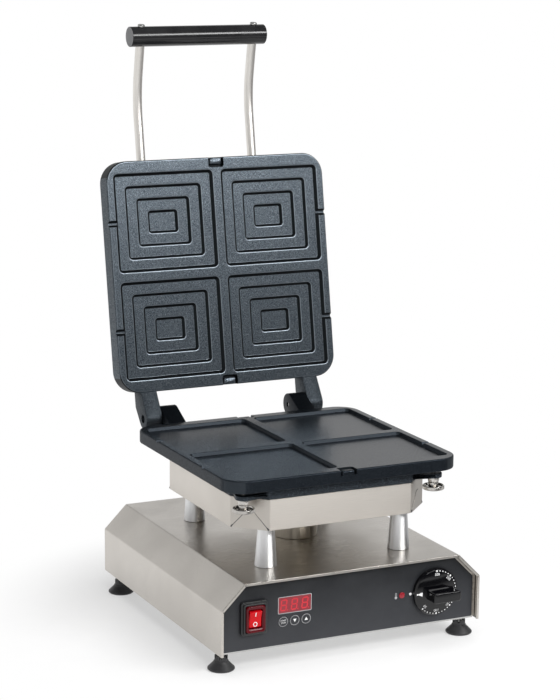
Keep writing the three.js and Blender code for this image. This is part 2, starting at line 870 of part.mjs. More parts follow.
// Foot: a flared rubber cone under a collar with teeth.
function makeFoot() {
  const cone = turned([
    [0, 0],
    [footRadius - footEdge / 2, 0],
    [footRadius, footEdge / 2],
    [footRadius - footEdge / 8, footEdge],
    [(footRadius + footNeckRadius) / 2 - footEdge / 4, footFlareHeight * 0.6],
    [footNeckRadius, footFlareHeight],
    [footCollarRadius, footFlareHeight],
    [footCollarRadius, footCollarTop],
    [0, footCollarTop],
  ], footSides);
  const tools = [cylinderZ(studRadius + 2 * seat, studSocket, footCollarTop + overrun, holeSides)];
  for (let i = 0; i < footNotches; i += 1) {
    const low = [studRadius, -footNotchWidth / 2, footCollarTop - footNotchDepth];
    const notch = box(low, [footRadius, footNotchWidth / 2, footCollarTop + overrun]);
    tools.push(notch.rotate([0, 0, (360 * i) / footNotches]));
  }
  return cut(cone, tools);
}

function makeStud() {
  return cylinderZ(studRadius, studSocket + seat, studTop);
}

// Leg: a polished cone with a stud at each end.
function makeLeg() {
  const cone = turned([
    [0, legBottom],
    [legFootRadius, legBottom],
    [legTopRadius, legTop],
    [0, legTop],
  ]);
  return cone.add(cylinderZ(legStudRadius, legBottom - legStudReach, legTop + legStudReach / 2, holeSides));
}

function makeDuct() {
  return turned([
    [ductRadius - ductWall, legBottom],
    [ductRadius, legBottom],
    [ductRadius, legTop],
    [ductRadius - ductWall, legTop],
    [ductRadius - ductWall, legBottom],
  ]).translate([0, unitY, 0]);
}

// An octagonal outline round the heater unit, set in or out by an amount.
function unitOutline(inset, y) {
  const halfX = housingWidth / 2 - inset;
  const halfY = housingDepth / 2 - inset;
  const corner = housingCorner - inset * (2 - Math.SQRT2);
  const points = [];
  for (const [sx, sy, first] of [[1, -1, 0], [1, 1, 1], [-1, 1, 0], [-1, -1, 1]]) {
    const side = [sx * halfX, sy * (halfY - corner) + y];
    const end = [sx * (halfX - corner), sy * halfY + y];
    points.push(...(first ? [side, end] : [end, side]));
  }
  return polygon(points);
}

// Housing tray, floor at bottom and an inward lip round its mouth.
function makeHousing(y, low, floorHoles) {
  const shell = prismZ(unitOutline(0, y), low, low + housingHeight);
  const hollow = prismZ(unitOutline(housingSheet, y), low + housingSheet, low + housingHeight - housingSheet);
  const mouth = prismZ(unitOutline(housingLip, y), low + housingSheet, low + housingHeight + overrun);
  const gland = cylinderY(linkGlandRadius + running, -overrun, housingSheet + overrun);
  const rear = y + housingDepth / 2 - housingSheet;
  return cut(shell, [hollow, mouth, gland.translate([linkGlandX, rear, low + linkGlandRise]), ...floorHoles]);
}

function makeLinkGland(y, z) {
  const body = turned([
    [linkGlandBore, 0],
    [linkGlandRadius, 0],
    [linkGlandRadius, housingSheet + 2 * seat],
    [linkGlandFlange, housingSheet + 2 * seat],
    [linkGlandFlange - linkGlandFlangeThickness / 2, housingSheet + 2 * seat + linkGlandFlangeThickness],
    [linkGlandBore, housingSheet + 2 * seat + linkGlandFlangeThickness],
    [linkGlandBore, 0],
  ], smallSides);
  return body.rotate([-90, 0, 0]).translate([linkGlandX, y + housingDepth / 2 - housingSheet - seat, z]);
}

// Heater block: an octagonal casting with two clamp ears at the front and a blind bore for the bulb.
// The face towards the plate is at high.
function makeHeaterBlock(y, low) {
  const high = low + blockHeight;
  const earFront = plateYOf(y) - earY;
  const earTop = high - earDrop;
  const parts = [prismZ(unitOutline(-blockProud, y), low, high)];
  const tools = [];
  const root = housingWidth / 2 - housingCorner;
  for (const sign of [-1, 1]) {
    const ends = [[root, earFront - earRadius], [root, earFront + earRadius]];
    const ear = polygon(hull([...circlePoints([earX, earFront], earRadius), ...ends]));
    parts.push(prismZ(ear, earTop - earThickness, earTop).scale([sign, 1, 1]));
    const hole = cylinderZ(thumbScrewRadius + running, earTop - earThickness - overrun, earTop + overrun);
    tools.push(hole.translate([sign * earX, earFront, 0]));
  }
  const rear = y + housingDepth / 2 + blockProud;
  const bore = cylinderY(bulbRadius + running, rear - bulbLength, rear + overrun);
  tools.push(bore.translate([bulbX, 0, low + blockHeight / 2]));
  return cut(union(parts), tools);
}

// The plate's middle from the heater unit's middle, in whichever frame the unit is in.
function plateYOf(unitMiddle) {
  return unitMiddle - unitY + plateY;
}

function makeBulb(y, low) {
  const rear = y + housingDepth / 2 + blockProud;
  return cylinderY(bulbRadius, rear - bulbLength + seat, rear).translate([bulbX, 0, low + blockHeight / 2]);
}

// Tubular element: straight runs joined by half circles, with both tails turned to the rear.
function makeElement(y, z) {
  const reach = housingDepth / 2 - elementInset - elementBend;
  const pitch = 2 * elementBend;
  const path = new THREE.CurvePath();
  const at = (x, py) => new THREE.Vector3(x, y + py, z);
  const first = -((elementRuns - 1) * pitch) / 2;
  for (let i = 0; i < elementRuns; i += 1) {
    const x = first + i * pitch;
    const up = i % 2 === 0 ? -1 : 1;
    const from = i === 0 ? -up * (reach + elementTail) : -up * reach;
    const to = i === elementRuns - 1 ? up * (reach + elementTail) : up * reach;
    path.add(new THREE.LineCurve3(at(x, from), at(x, to)));
    if (i + 1 < elementRuns) {
      const turn = [];
      for (let k = 0; k <= holeSides; k += 1) {
        const angle = (Math.PI * k) / holeSides;
        const along = elementBend * (1 - Math.cos(angle));
        turn.push(at(x + along, up * (reach + elementBend * Math.sin(angle))));
      }
      path.add(new THREE.CatmullRomCurve3(turn));
    }
  }
  const section = polygon(circlePoints([0, 0], elementRadius, elementSides));
  return swept(section, path, elementSteps);
}

function makeClampPlate(y, low) {
  const high = low + clampThickness;
  const body = box([-clampWidth / 2, y - clampDepth / 2, low], [clampWidth / 2, y + clampDepth / 2, high]);
  const slots = [-1, 1].map((sign) => {
    const x = (sign * clampWidth) / 4;
    const corner = [x - clampSlotWidth / 2, y - clampDepth / 3, low - overrun];
    return box(corner, [x + clampSlotWidth / 2, y + clampDepth / 3, high + overrun]);
  });
  return cut(body, slots);
}

function makeInsulation(y, low, tools) {
  const slab = prismZ(unitOutline(housingSheet + insulationInset, y), low, low + insulationThickness);
  return cut(slab, tools);
}

// A blank for a baking plate: a rounded slab with broken edges.
function plateBlank(y, low, high) {
  const ring = ([inset, z]) =>
    roundRing(plateWidth - 2 * inset, plateDepth - 2 * inset, plateCorner - inset, z, plateSides);
  const levels = [[plateEdge, low], [0, low + plateEdge], [0, high - plateEdge], [plateEdge, high]];
  return loft(levels.map(ring)).translate([0, y, 0]);
}

function pocketPlaces() {
  const places = [];
  for (const sx of [-1, 1]) {
    for (const sy of [-1, 1]) places.push([(sx * pocketPitchX) / 2, (sy * pocketPitchY) / 2]);
  }
  return places;
}

// The hollow of one pocket as a stack of rings that goes down from the face at 0.
// Each level has the depth of its floor and the inset of its outline from the first.
function pocketTool(levels, sides) {
  const rings = [];
  const ring = (inset, corner, z) =>
    rings.push(roundRing(pocketWidth - 2 * inset, pocketDepth - 2 * inset, corner, z, sides));
  ring(-pocketEdge, pocketCorner + pocketEdge, overrun);
  let from = 0;
  for (const { inset, corner, drop } of levels) {
    ring(inset - pocketEdge, corner + pocketEdge, -from);
    ring(inset, corner, -from - pocketEdge);
    ring(inset + pocketDraft, corner - pocketDraft, -drop);
    from = drop;
  }
  return loft(rings);
}

// Cuts that both plates share round the rim, going down from the face at 0: vents beside each pocket
// and a notch with a small tab at the front and at the rear.
function rimCuts() {
  const tools = [];
  const side = plateWidth / 2;
  const inner = pocketPitchX / 2 + pocketWidth / 2 - overrun;
  for (const sx of [-1, 1]) {
    for (const sy of [-1, 1]) {
      const xs = [sx * inner, sx * (side + overrun)].sort((a, b) => a - b);
      const y = (sy * pocketPitchY) / 2;
      tools.push(box([xs[0], y - rimVentWidth / 2, -rimVentDrop], [xs[1], y + rimVentWidth / 2, overrun]));
    }
  }
  for (const sy of [-1, 1]) {
    const outer = plateDepth / 2 + overrun;
    const near = outer - notchReach - overrun;
    const notch = box([-notchHalfWidth, near, -notchDrop], [notchHalfWidth, outer, overrun]);
    const half = notchTabWidth / 2;
    const tabNear = outer - notchTabReach - overrun;
    const tab = box([-half, tabNear, -notchDrop - overrun], [half, outer, -notchTabDrop]);
    tools.push(notch.subtract(tab).scale([1, sy, 1]));
  }
  return tools;
}

// Hole for a hinge pin: a shoulder bore through the lug and a shank bore through the knuckle.
function pinBores(sign) {
  const shoulder = cylinderX(pinShoulderRadius + running, lugInner - seat, lugOuter + overrun);
  const shank = cylinderX(pinShankRadius + running, knuckleInner - overrun, lugInner);
  const bores = shoulder.add(shank);
  return sign > 0 ? bores : bores.rotate([0, 0, 180]);
}

// Lower plate: flat pockets, and behind it two knuckles that rise to the hinge axis.
function makeLowerPlate() {
  const blank = plateBlank(plateY, plateBottom, hingeZ);
  const parts = [blank];
  const reach = plateRear - hingeY - overrun;
  for (const sign of [-1, 1]) {
    const rim = [[reach, plateEdge - lowerPlateThickness], [reach, -plateEdge]];
    const outline = hull([...circlePoints([0, 0], knuckleRadius), ...rim]);
    const xs = [sign * knuckleInner, sign * knuckleOuter].sort((a, b) => a - b);
    parts.push(prismX(polygon(outline), xs[0], xs[1]).translate([0, hingeY, hingeZ]));
  }
  const flat = { inset: 0, corner: pocketCorner, drop: lowerPocketDrop };
  const pocket = pocketTool([flat], cornerSides);
  const tools = pocketPlaces().map(([x, y]) => pocket.translate([x, y + plateY, hingeZ]));
  const threadHole = cylinderZ(thumbScrewRadius + running, -overrun, thumbBite + seat);
  tools.push(...rimCuts().map((tool) => tool.translate([0, plateY, hingeZ])));
  for (const sign of [-1, 1]) {
    tools.push(pinBores(sign).translate([0, hingeY, hingeZ]));
    tools.push(threadHole.translate([sign * earX, plateY - earY, plateBottom]));
  }
  return cut(union(parts), tools);
}

// Upper plate, closed over the lower one: four pockets that step down towards their middle,
// and two lugs that end in a round nose about the hinge axis.
function makeUpperPlate() {
  const parts = [plateBlank(lidPlateY, lidGap, lidPlateTop)];
  const edge = plateRear - hingeY - overrun;
  const back = plateRear - hingeY + lugBack;
  const low = lidGap + plateEdge;
  const high = lidPlateTop - plateEdge;
  const outline = hull([...circlePoints([0, 0], lugNose), [edge, low], [edge, high], [back, high]]);
  for (const sign of [-1, 1]) {
    const xs = [sign * lugInner, sign * lugOuter].sort((a, b) => a - b);
    parts.push(prismX(polygon(outline), xs[0], xs[1]));
  }
  const levels = [];
  for (let i = 0; i < stepCount; i += 1) {
    const corner = pocketCorner - i * stepCornerLoss;
    levels.push({ inset: i * stepInset, corner, drop: firstStepDrop + i * nextStepDrop });
  }
  const flip = (tool) => tool.rotate([180, 0, 0]);
  const pocket = flip(pocketTool(levels, stepSides));
  const tools = pocketPlaces().map(([x, y]) => pocket.translate([x, y + lidPlateY, lidGap]));
  const threadHole = flip(cylinderZ(thumbScrewRadius + running, -overrun, thumbBite + seat));
  tools.push(...rimCuts().map((tool) => flip(tool).translate([0, lidPlateY, lidGap])));
  for (const sign of [-1, 1]) {
    tools.push(pinBores(sign));
    tools.push(threadHole.translate([sign * earX, lidPlateY - earY, lidPlateTop]));
  }
  return cut(union(parts), tools);
}

// Hinge pin: a shoulder that turns in the lug and a shank held in the knuckle.
function makeHingePin(sign) {
  const shoulder = cylinderX(pinShoulderRadius, lugInner, lugOuter - pinHeadSink);
  const shank = cylinderX(pinShankRadius, knuckleInner + pinEndSink, lugInner + overrun);
  const pin = shoulder.add(shank);
  return (sign > 0 ? pin : pin.rotate([0, 0, 180])).translate([0, hingeY, hingeZ]);
}

// Thumb screw, standing on its thread: a toothed disc with a dished top, a neck and a threaded end.
// Its neck meets the ear at 0 and the disc is below.
function makeThumbScrew(grip) {
  const discTop = -thumbNeckLength;
  const discLow = discTop - thumbDisc;
  const points = [];
  for (let i = 0; i < 2 * thumbTeeth; i += 1) {
    const angle = (Math.PI * i) / thumbTeeth;
    const radius = thumbRadius - (i % 2) * thumbToothDepth;
    points.push([radius * Math.cos(angle), radius * Math.sin(angle)]);
  }
  const disc = prismZ(polygon(points), discLow, discTop);
  const neck = turned([
    [0, discTop - thumbDisc / 2],
    [thumbNeckRadius, discTop - thumbDisc / 2],
    [thumbNeckRadius, discTop + thumbNeckLength / 3],
    [thumbShoulderRadius, -seat],
    [thumbScrewRadius, -seat],
    [thumbScrewRadius, grip],
    [0, grip],
  ], smallSides);
  const dish = turned([
    [thumbDishInner, discTop - thumbDish],
    [thumbDishOuter, discTop - thumbDish],
    [thumbDishOuter, discTop + seat],
    [thumbDishInner, discTop + seat],
    [thumbDishInner, discTop - thumbDish],
  ], footSides);
  return disc.subtract(dish).add(neck);
}

function rodBend() {
  const angle = THREE.MathUtils.degToRad(rodBendAngle);
  const tangent = rodBendRadius * Math.tan(angle / 2);
  const vertex = lidPlateY - gripBarReach + (rodRise - gripBarRise) / Math.tan(angle);
  return { angle, tangent, vertex };
}

// Handle rod: straight out of its block, a slow bend down, straight into the grip.
function makeRod(x) {
  const { angle, tangent, vertex } = rodBend();
  const end = rodStart() - rodBlockFoot;
  const point = (y, z) => new THREE.Vector3(x, y, z);
  const direction = [Math.cos(angle), Math.sin(angle)];
  const bendStart = point(vertex + tangent, rodRise);
  const bendEnd = point(vertex - tangent * direction[0], rodRise - tangent * direction[1]);
  const tipY = lidPlateY - gripBarReach + (gripBarRadius - rodSocket) * direction[0];
  const tipZ = gripBarRise + (gripBarRadius - rodSocket) * direction[1];
  const path = new THREE.CurvePath();
  path.add(new THREE.LineCurve3(point(end, rodRise), bendStart));
  path.add(new THREE.QuadraticBezierCurve3(bendStart, point(vertex, rodRise), bendEnd));
  path.add(new THREE.LineCurve3(bendEnd, point(tipY, tipZ)));
  const section = polygon(circlePoints([0, 0], rodRadius, rodSides));
  const rod = swept(section, path, rodSteps);
  const tip = gripBarRadius - rodSocket;
  const thread = cylinderY(handleScrewRadius + seat, tip - overrun, tip + handleScrewBite + seat, holeSides);
  return rod.subtract(alongRod(thread, x));
}

// Where the rods' blocks end inside the upper housing.
function rodStart() {
  return lidUnitY - housingDepth / 2 + housingSheet + rodAnchor + rodBlockFoot;
}

// Block that holds a rod against the inside of the upper housing's front wall.
function makeRodBlock(x, floor) {
  const near = lidUnitY - housingDepth / 2 + housingSheet + seat;
  const low = [x - rodBlockWidth / 2, near, rodRise - rodRadius - rodBlockWall];
  const body = box(low, [x + rodBlockWidth / 2, near + rodBlockLength, floor - seat]);
  const bore = cylinderY(rodRadius + seat, near - overrun, rodStart() - rodBlockFoot + seat);
  return body.subtract(bore.translate([x, 0, rodRise]));
}

// A tool along the rods' last straight stretch, from the grip bar's middle outwards.
function alongRod(tool, x) {
  return tool.rotate([rodBendAngle, 0, 0]).translate([x, lidPlateY - gripBarReach, gripBarRise]);
}

function makeGripBar() {
  const half = gripBarLength / 2;
  const profile = [
    [0, -half],
    [gripBarRadius - gripBarEdge, -half],
    [gripBarRadius, -half + gripBarEdge],
    [gripBarRadius, half - gripBarEdge],
    [gripBarRadius - gripBarEdge, half],
    [0, half],
  ];
  const bar = turned(profile).rotate([0, 90, 0]).translate([0, lidPlateY - gripBarReach, gripBarRise]);
  const tools = [];
  for (const x of [-rodX, rodX]) {
    const reach = 2 * gripBarRadius;
    tools.push(alongRod(cylinderY(rodRadius + seat, gripBarRadius - rodSocket - seat, reach), x));
    tools.push(alongRod(cylinderY(handleScrewRadius + seat, -reach, gripBarRadius, holeSides), x));
  }
  return cut(bar, tools);
}

function makeHandleScrew(x) {
  const under = -gripBarRadius - seat;
  const head = cylinderY(handleScrewHead, under - handleScrewHeadHeight, under);
  const end = gripBarRadius - rodSocket + handleScrewBite;
  const shank = cylinderY(handleScrewRadius, under - seat, end, holeSides);
  return alongRod(head.add(shank), x);
}

// Base
place("base_cover", makeCover(), steel);
place("chassis", makeChassis(), steel);
place("panel_foil", makeFoil(), foilDark);
place("switch_frame", makeSwitchFrame(), blackPlastic);
place("switch_body", makeSwitchBody(), darkRed);
place("rocker", makeRocker().translate([switchX, rockerPivotY(), coverBottom + controlRow]), redLens);
place("display_window", makeWindow(), darkRed);
place("timer_board", makeTimerBoard(), board);
for (const [name, x] of keyPlaces()) {
  place(`key_${name}`, makeKey().translate([x, 0, coverBottom + keyHeight]), foilDark);
}
place("indicator_lamp", makeLamp(), redLens);
place("thermostat", makeThermostat(), steel);
place("thermostat_spindle", makeSpindle().translate([dialX, 0, coverBottom + lampRow]), brass);
place("control_knob", makeKnob().translate([dialX, 0, coverBottom + lampRow]), gloss);
place("terminal_block", makeTerminalBlock(), ceramic);
place("mains_gland", makeMainsGland(), blackPlastic);
for (const [name, x, y] of footPlaces()) {
  place(`foot_${name}`, makeFoot().translate([x, y, 0]), rubber);
  place(`foot_stud_${name}`, makeStud().translate([x, y, 0]), steel);
}
for (const [name, x, y] of legPlaces()) place(`leg_${name}`, makeLeg().translate([x, y, 0]), polished);
place("wiring_duct", makeDuct(), steel);

// Lower unit
const atLegs = (tool) => legPlaces().map(([, x, y]) => tool.translate([x, y, 0]));
const floorSpan = [housingBottom - overrun, housingBottom + housingSheet + overrun];
const floorHoles = atLegs(cylinderZ(legStudRadius + running, ...floorSpan, holeSides));
floorHoles.push(cylinderZ(ductHole, ...floorSpan, roundSides).translate([0, unitY, 0]));
const slabLow = housingBottom + housingSheet + seat;
const slabSpan = [slabLow - overrun, slabLow + insulationThickness + overrun];
const slabHoles = atLegs(cylinderZ(legNutRoom, ...slabSpan, holeSides));
slabHoles.push(cylinderZ(insulationHole, ...slabSpan, roundSides).translate([0, unitY, 0]));
const elementZ = blockBottom - seat - elementRadius;
const clampLow = elementZ - elementRadius - seat - clampThickness;
place("lower_housing", makeHousing(unitY, housingBottom, floorHoles), steel);
place("lower_insulation", makeInsulation(unitY, slabLow, slabHoles), wool);
place("lower_clamp_plate", makeClampPlate(unitY, clampLow), steel);
place("lower_element", makeElement(unitY, elementZ), castDark);
place("lower_heater_block", makeHeaterBlock(unitY, blockBottom), castDark);
place("lower_bulb", makeBulb(unitY, blockBottom), brass);
place("lower_link_gland", makeLinkGland(unitY, housingBottom + linkGlandRise), rubber);
place("lower_plate", makeLowerPlate(), castDark);
for (const [side, sign] of [["left", -1], ["right", 1]]) {
  const earUnder = blockTop - earDrop - earThickness;
  const grip = plateBottom + thumbBite - earUnder;
  const screw = makeThumbScrew(grip).translate([sign * earX, plateY - earY, earUnder]);
  place(`thumb_screw_lower_${side}`, screw, polished);
  place(`hinge_pin_${side}`, makeHingePin(sign), steel);
}

// Lid, closed about its hinge axis and mirrored in height from the lower unit
const flipUnit = (body) => body.scale([1, 1, -1]);
const lidBlockLow = lidPlateTop + seat;
const lidHousingLow = lidBlockLow + blockHeight + seat;
const lidFloor = lidHousingLow + housingHeight - housingSheet;
const lidElementZ = lidHousingLow + seat + elementRadius;
const lidClampLow = lidElementZ + elementRadius + seat;
const lidFrontY = lidUnitY - housingDepth / 2;
const rodHole = cylinderY(rodRadius + running, -overrun, housingSheet + overrun);
const rodHoles = [-rodX, rodX].map((x) => rodHole.translate([x, lidFrontY, -rodRise]));
place("upper_plate", makeUpperPlate(), castCoated, lid);
place("upper_heater_block", flipUnit(makeHeaterBlock(lidUnitY, -lidBlockLow - blockHeight)), castDark, lid);
place("upper_bulb", flipUnit(makeBulb(lidUnitY, -lidBlockLow - blockHeight)), brass, lid);
place("upper_element", makeElement(lidUnitY, lidElementZ), castDark, lid);
place("upper_clamp_plate", makeClampPlate(lidUnitY, lidClampLow), steel, lid);
place("upper_housing", flipUnit(makeHousing(lidUnitY, -lidHousingLow - housingHeight, rodHoles)), steel, lid);
const blockReach = lidFrontY + rodBlockLength + 2 * housingSheet + seat;
const lidSlabLow = lidFloor - seat - insulationThickness;
const blockRooms = [-rodX, rodX].map((x) => {
  const low = [x - rodBlockWidth / 2 - seat, lidUnitY - housingDepth, lidSlabLow - overrun];
  return box(low, [x + rodBlockWidth / 2 + seat, blockReach, lidFloor + overrun]);
});
place("upper_insulation", makeInsulation(lidUnitY, lidSlabLow, blockRooms), wool, lid);
const lidGlandZ = lidHousingLow + housingHeight - linkGlandRise;
place("upper_link_gland", makeLinkGland(lidUnitY, lidGlandZ), rubber, lid);
for (const [side, sign] of [["left", -1], ["right", 1]]) {
  const earOuter = lidBlockLow + earDrop + earThickness;
  const grip = earOuter - lidPlateTop + thumbBite;
  const screw = flipUnit(makeThumbScrew(grip)).translate([sign * earX, lidPlateY - earY, earOuter]);
  place(`thumb_screw_upper_${side}`, screw, polished, lid);
  place(`rod_block_${side}`, makeRodBlock(sign * rodX, lidFloor), steel, lid);
  place(`handle_rod_${side}`, makeRod(sign * rodX), polished, lid);
  place(`handle_screw_${side}`, makeHandleScrew(sign * rodX), polished, lid);
}
place("handle_grip", makeGripBar(), gloss, lid);

lid.position.set(0, hingeY, hingeZ);
lid.rotation.x = -THREE.MathUtils.degToRad(lidOpenAngle);
machine.add(lid);

// The origin is under the middle of the open machine, on the surface it stands on.
machine.updateMatrixWorld(true);
const bounds = new THREE.Box3().setFromObject(machine, true);
const centre = bounds.getCenter(new THREE.Vector3());
machine.position.set(-centre.x, -centre.y, -bounds.min.z);

export default machine;
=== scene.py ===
# %% [markdown]
# # A countertop jaffle iron
# A jaffle iron bakes filled slices of bread between two cast plates. This one stands open: a folded steel
# base carries the controls, four turned legs carry the lower plate, and the upper plate leans back in the lid.
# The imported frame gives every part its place, so each piece below is only shaped and finished, never fitted.

# %% Load the frame
import json
import math

import bmesh
import bpy
from mathutils import Matrix, Vector
from mathutils.geometry import convex_hull_2d


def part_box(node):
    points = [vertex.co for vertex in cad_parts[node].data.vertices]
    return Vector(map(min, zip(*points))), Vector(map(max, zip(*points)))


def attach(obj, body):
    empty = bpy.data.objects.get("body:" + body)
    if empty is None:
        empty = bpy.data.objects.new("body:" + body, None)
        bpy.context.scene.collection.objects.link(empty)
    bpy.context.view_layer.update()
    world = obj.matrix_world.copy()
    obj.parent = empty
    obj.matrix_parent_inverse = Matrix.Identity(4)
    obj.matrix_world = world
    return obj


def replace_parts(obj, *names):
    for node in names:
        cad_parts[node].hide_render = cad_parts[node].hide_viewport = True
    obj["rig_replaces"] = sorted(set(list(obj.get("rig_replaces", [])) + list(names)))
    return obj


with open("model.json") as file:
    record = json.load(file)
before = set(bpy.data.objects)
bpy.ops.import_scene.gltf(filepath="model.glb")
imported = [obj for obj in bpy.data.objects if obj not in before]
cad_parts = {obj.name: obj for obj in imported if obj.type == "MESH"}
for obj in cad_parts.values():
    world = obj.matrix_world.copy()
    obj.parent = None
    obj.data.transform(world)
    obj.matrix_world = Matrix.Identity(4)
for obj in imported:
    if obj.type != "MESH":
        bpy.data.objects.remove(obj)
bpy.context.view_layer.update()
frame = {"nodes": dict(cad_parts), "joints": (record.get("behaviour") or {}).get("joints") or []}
nodes = frame["nodes"]

# %% [markdown]
# Workshop drawings are in millimetres, so every shape below is drawn in millimetres and scaled once, when it
# becomes a mesh. A shape is a plain pair, its points and its faces, which makes it easy to move and to join.

# %% Shapes: move, join, loft, turn
MM = 0.001
UP = Vector((0, 0, 1))


def moved(shape, matrix):
    points, faces = shape
    return [matrix @ Vector(p) for p in points], list(faces)


def shifted(shape, x=0, y=0, z=0):
    return moved(shape, Matrix.Translation((x, y, z)))


def turned_by(shape, degrees, axis):
    return moved(shape, Matrix.Rotation(math.radians(degrees), 4, axis))


def joined(*shapes):
    points, faces = [], []
    for some, more in shapes:
        start = len(points)
        points += [Vector(p) for p in some]
        faces += [tuple(start + i for i in face) for face in more]
    return points, faces


def loft(rings, ends=True, around=False):
    """A skin over rings of equally many points; ends closes it, around joins the last ring to the first."""
    count = len(rings[0])
    points = [Vector(p) for ring in rings for p in ring]
    faces = []
    for r in range(len(rings) if around else len(rings) - 1):
        low, high = r * count, ((r + 1) % len(rings)) * count
        for i in range(count):
            j = (i + 1) % count
            faces.append((low + i, low + j, high + j, high + i))
    if ends and not around:
        last = (len(rings) - 1) * count
        faces.append(tuple(reversed(range(count))))
        faces.append(tuple(range(last, last + count)))
    return points, faces


def rounded(corners, steps=4):
    """A line through corners (a, b, radius) with an arc at each corner that has a radius."""
    line = []
    for i, (a, b, radius) in enumerate(corners):
        here = Vector((a, b))
        if radius <= 0 or i in (0, len(corners) - 1):
            line.append((a, b))
            continue
        back = (Vector(corners[i - 1][:2]) - here).normalized()
        on = (Vector(corners[i + 1][:2]) - here).normalized()
        half = back.angle(on) / 2
        middle = here + (back + on).normalized() * (radius / math.sin(half))
        start = here + back * (radius / math.tan(half)) - middle
        end = here + on * (radius / math.tan(half)) - middle
        sweep = math.atan2(start.x * end.y - start.y * end.x, start.dot(end))
        for k in range(steps + 1):
            turn = Matrix.Rotation(sweep * k / steps, 2)
            point = middle + turn @ start
            line.append((point.x, point.y))
    return line


def arc(radius, angles, x=0, y=0):
    """Points on a circle about (x, y), at angles in radians."""
    return [(x + radius * math.cos(a), y + radius * math.sin(a)) for a in angles]


def quarter(steps):
    """The angles of a quarter turn, in equal steps."""
    return [math.pi / 2 * k / steps for k in range(steps + 1)]


def circle(x, y, radius, sides=48):
    return arc(radius, [2 * math.pi * i / sides for i in range(sides)], x, y)


def level_ring(outline, z):
    """An outline of (x, y) as a ring at one height."""
    return [(x, y, z) for x, y in outline]


def turned(profile, sides=48):
    """A turned piece about Z from a profile of (radius, height)."""
    return loft([level_ring(circle(0, 0, radius, sides), height) for radius, height in profile], ends=False)


def rect_ring(width, depth, corner, z, steps=6):
    ring = []
    corner = max(corner, 0.01)
    for side_x, side_y, start in ((1, 1, 0), (-1, 1, 1), (-1, -1, 2), (1, -1, 3)):
        for i in range(steps + 1):
            angle = (start + i / steps) * math.pi / 2
            x = side_x * (width / 2 - corner) + corner * math.cos(angle)
            y = side_y * (depth / 2 - corner) + corner * math.sin(angle)
            ring.append((x, y, z))
    return ring


def rect_loft(width, depth, corner, profile):
    """A round-cornered block whose outline is set in by the profile's (inset, height) pairs."""
    return loft([rect_ring(width - 2 * i, depth - 2 * i, corner - i, z) for i, z in profile])


def prism(outline, low, high):
    """An outline of (x, y) raised along Z from low to high."""
    return loft([level_ring(outline, z) for z in (low, high)])


def hull(points):
    flat = [Vector(p) for p in points]
    return [tuple(flat[i]) for i in convex_hull_2d(flat)]


print("arc points:", len(rounded([(0, 0, 0), (10, 0, 2), (10, 10, 0)])))

# %% [markdown]
# A shape becomes a piece in one place: its doubles are merged, its faces are turned outwards, its edges are
# broken with a small bevel where that is asked for, and sharp edges are told from round ones by their angle.

# %% From a shape to a piece
scene = bpy.context.scene


def mesh_of(name, shape, bevel=0.0, bevel_steps=2, bevel_angle=30):
    """A mesh in metres, closed, with its faces outwards."""
    bm = bmesh.new()
    verts = [bm.verts.new(Vector(p) * MM) for p in shape[0]]
    for face in shape[1]:
        if len(set(face)) > 2:
            bm.faces.new([verts[i] for i in face])
    bmesh.ops.remove_doubles(bm, verts=bm.verts, dist=0.002 * MM)
    bmesh.ops.dissolve_degenerate(bm, edges=bm.edges, dist=0.001 * MM)
    bmesh.ops.recalc_face_normals(bm, faces=bm.faces)
    if bevel:
        limit = math.radians(bevel_angle)
        edges = [e for e in bm.edges if len(e.link_faces) == 2 and e.calc_face_angle(0) > limit]
        bmesh.ops.bevel(
            bm, geom=edges, offset=bevel * MM, segments=bevel_steps, profile=0.5,
            affect="EDGES", clamp_overlap=True,
        )
    mesh = bpy.data.meshes.new(name)
    bm.to_mesh(mesh)
    bm.free()
    return mesh


def object_of(name, data):
    made = bpy.data.objects.new(name, data)
    scene.collection.objects.link(made)
    return made


def result_of(item):
    """The mesh that an object comes to, with its modifiers or its letters worked out."""
    bpy.context.view_layer.update()
    graph = bpy.context.evaluated_depsgraph_get()
    return bpy.data.meshes.new_from_object(item.evaluated_get(graph), depsgraph=graph)


def freeze(piece):
    """Makes the result of a piece's modifiers its plain mesh."""
    result = result_of(piece)
    piece.modifiers.clear()
    piece.data = result
    return piece


def cut_away(piece, shape):
    """Cuts a shape out of a piece, as a mill or a punch does."""
    tool = object_of("tool", mesh_of("tool", shape))
    step = piece.modifiers.new("cut", "BOOLEAN")
    step.operation = "DIFFERENCE"
    step.solver = "EXACT"
    step.object = tool
    freeze(piece)
    bpy.data.objects.remove(tool)
    return piece


made_pieces = []


def keep(piece, material, body, stands_for=(), sharp=35, flat_first=False):
    """Finishes a piece: its material, the body it rides on and the nodes it stands for.

    It is shaded smooth up to edges of so many degrees; flat_first lets large flat faces keep their own normal.
    """
    piece.data.shade_smooth()
    piece.data.set_sharp_from_angle(angle=math.radians(sharp))
    if flat_first:
        piece.modifiers.new("weights", "WEIGHTED_NORMAL").keep_sharp = True
        freeze(piece)
    piece.data.materials.clear()
    piece.data.materials.append(material)
    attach(piece, body)
    if stands_for:
        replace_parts(piece, *stands_for)
    made_pieces.append(piece.name)
    return piece


def piece_of(name, shape, material, body, stands_for=(), bevel=0.0, sharp=35):
    return keep(object_of(name, mesh_of(name, shape, bevel)), material, body, stands_for, sharp)


print("helpers ready")

# %% [markdown]
# Some places are read from the frame: the middle of a node's box tells where its centre is. The lid is drawn
# closed, about its hinge axis, as on the bench, and one matrix then leans it back as the frame holds it.

# %% Places taken from the frame
def low_of(name):
    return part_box(name)[0] / MM


def high_of(name):
    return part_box(name)[1] / MM


def middle_of(name):
    return (low_of(name) + high_of(name)) / 2


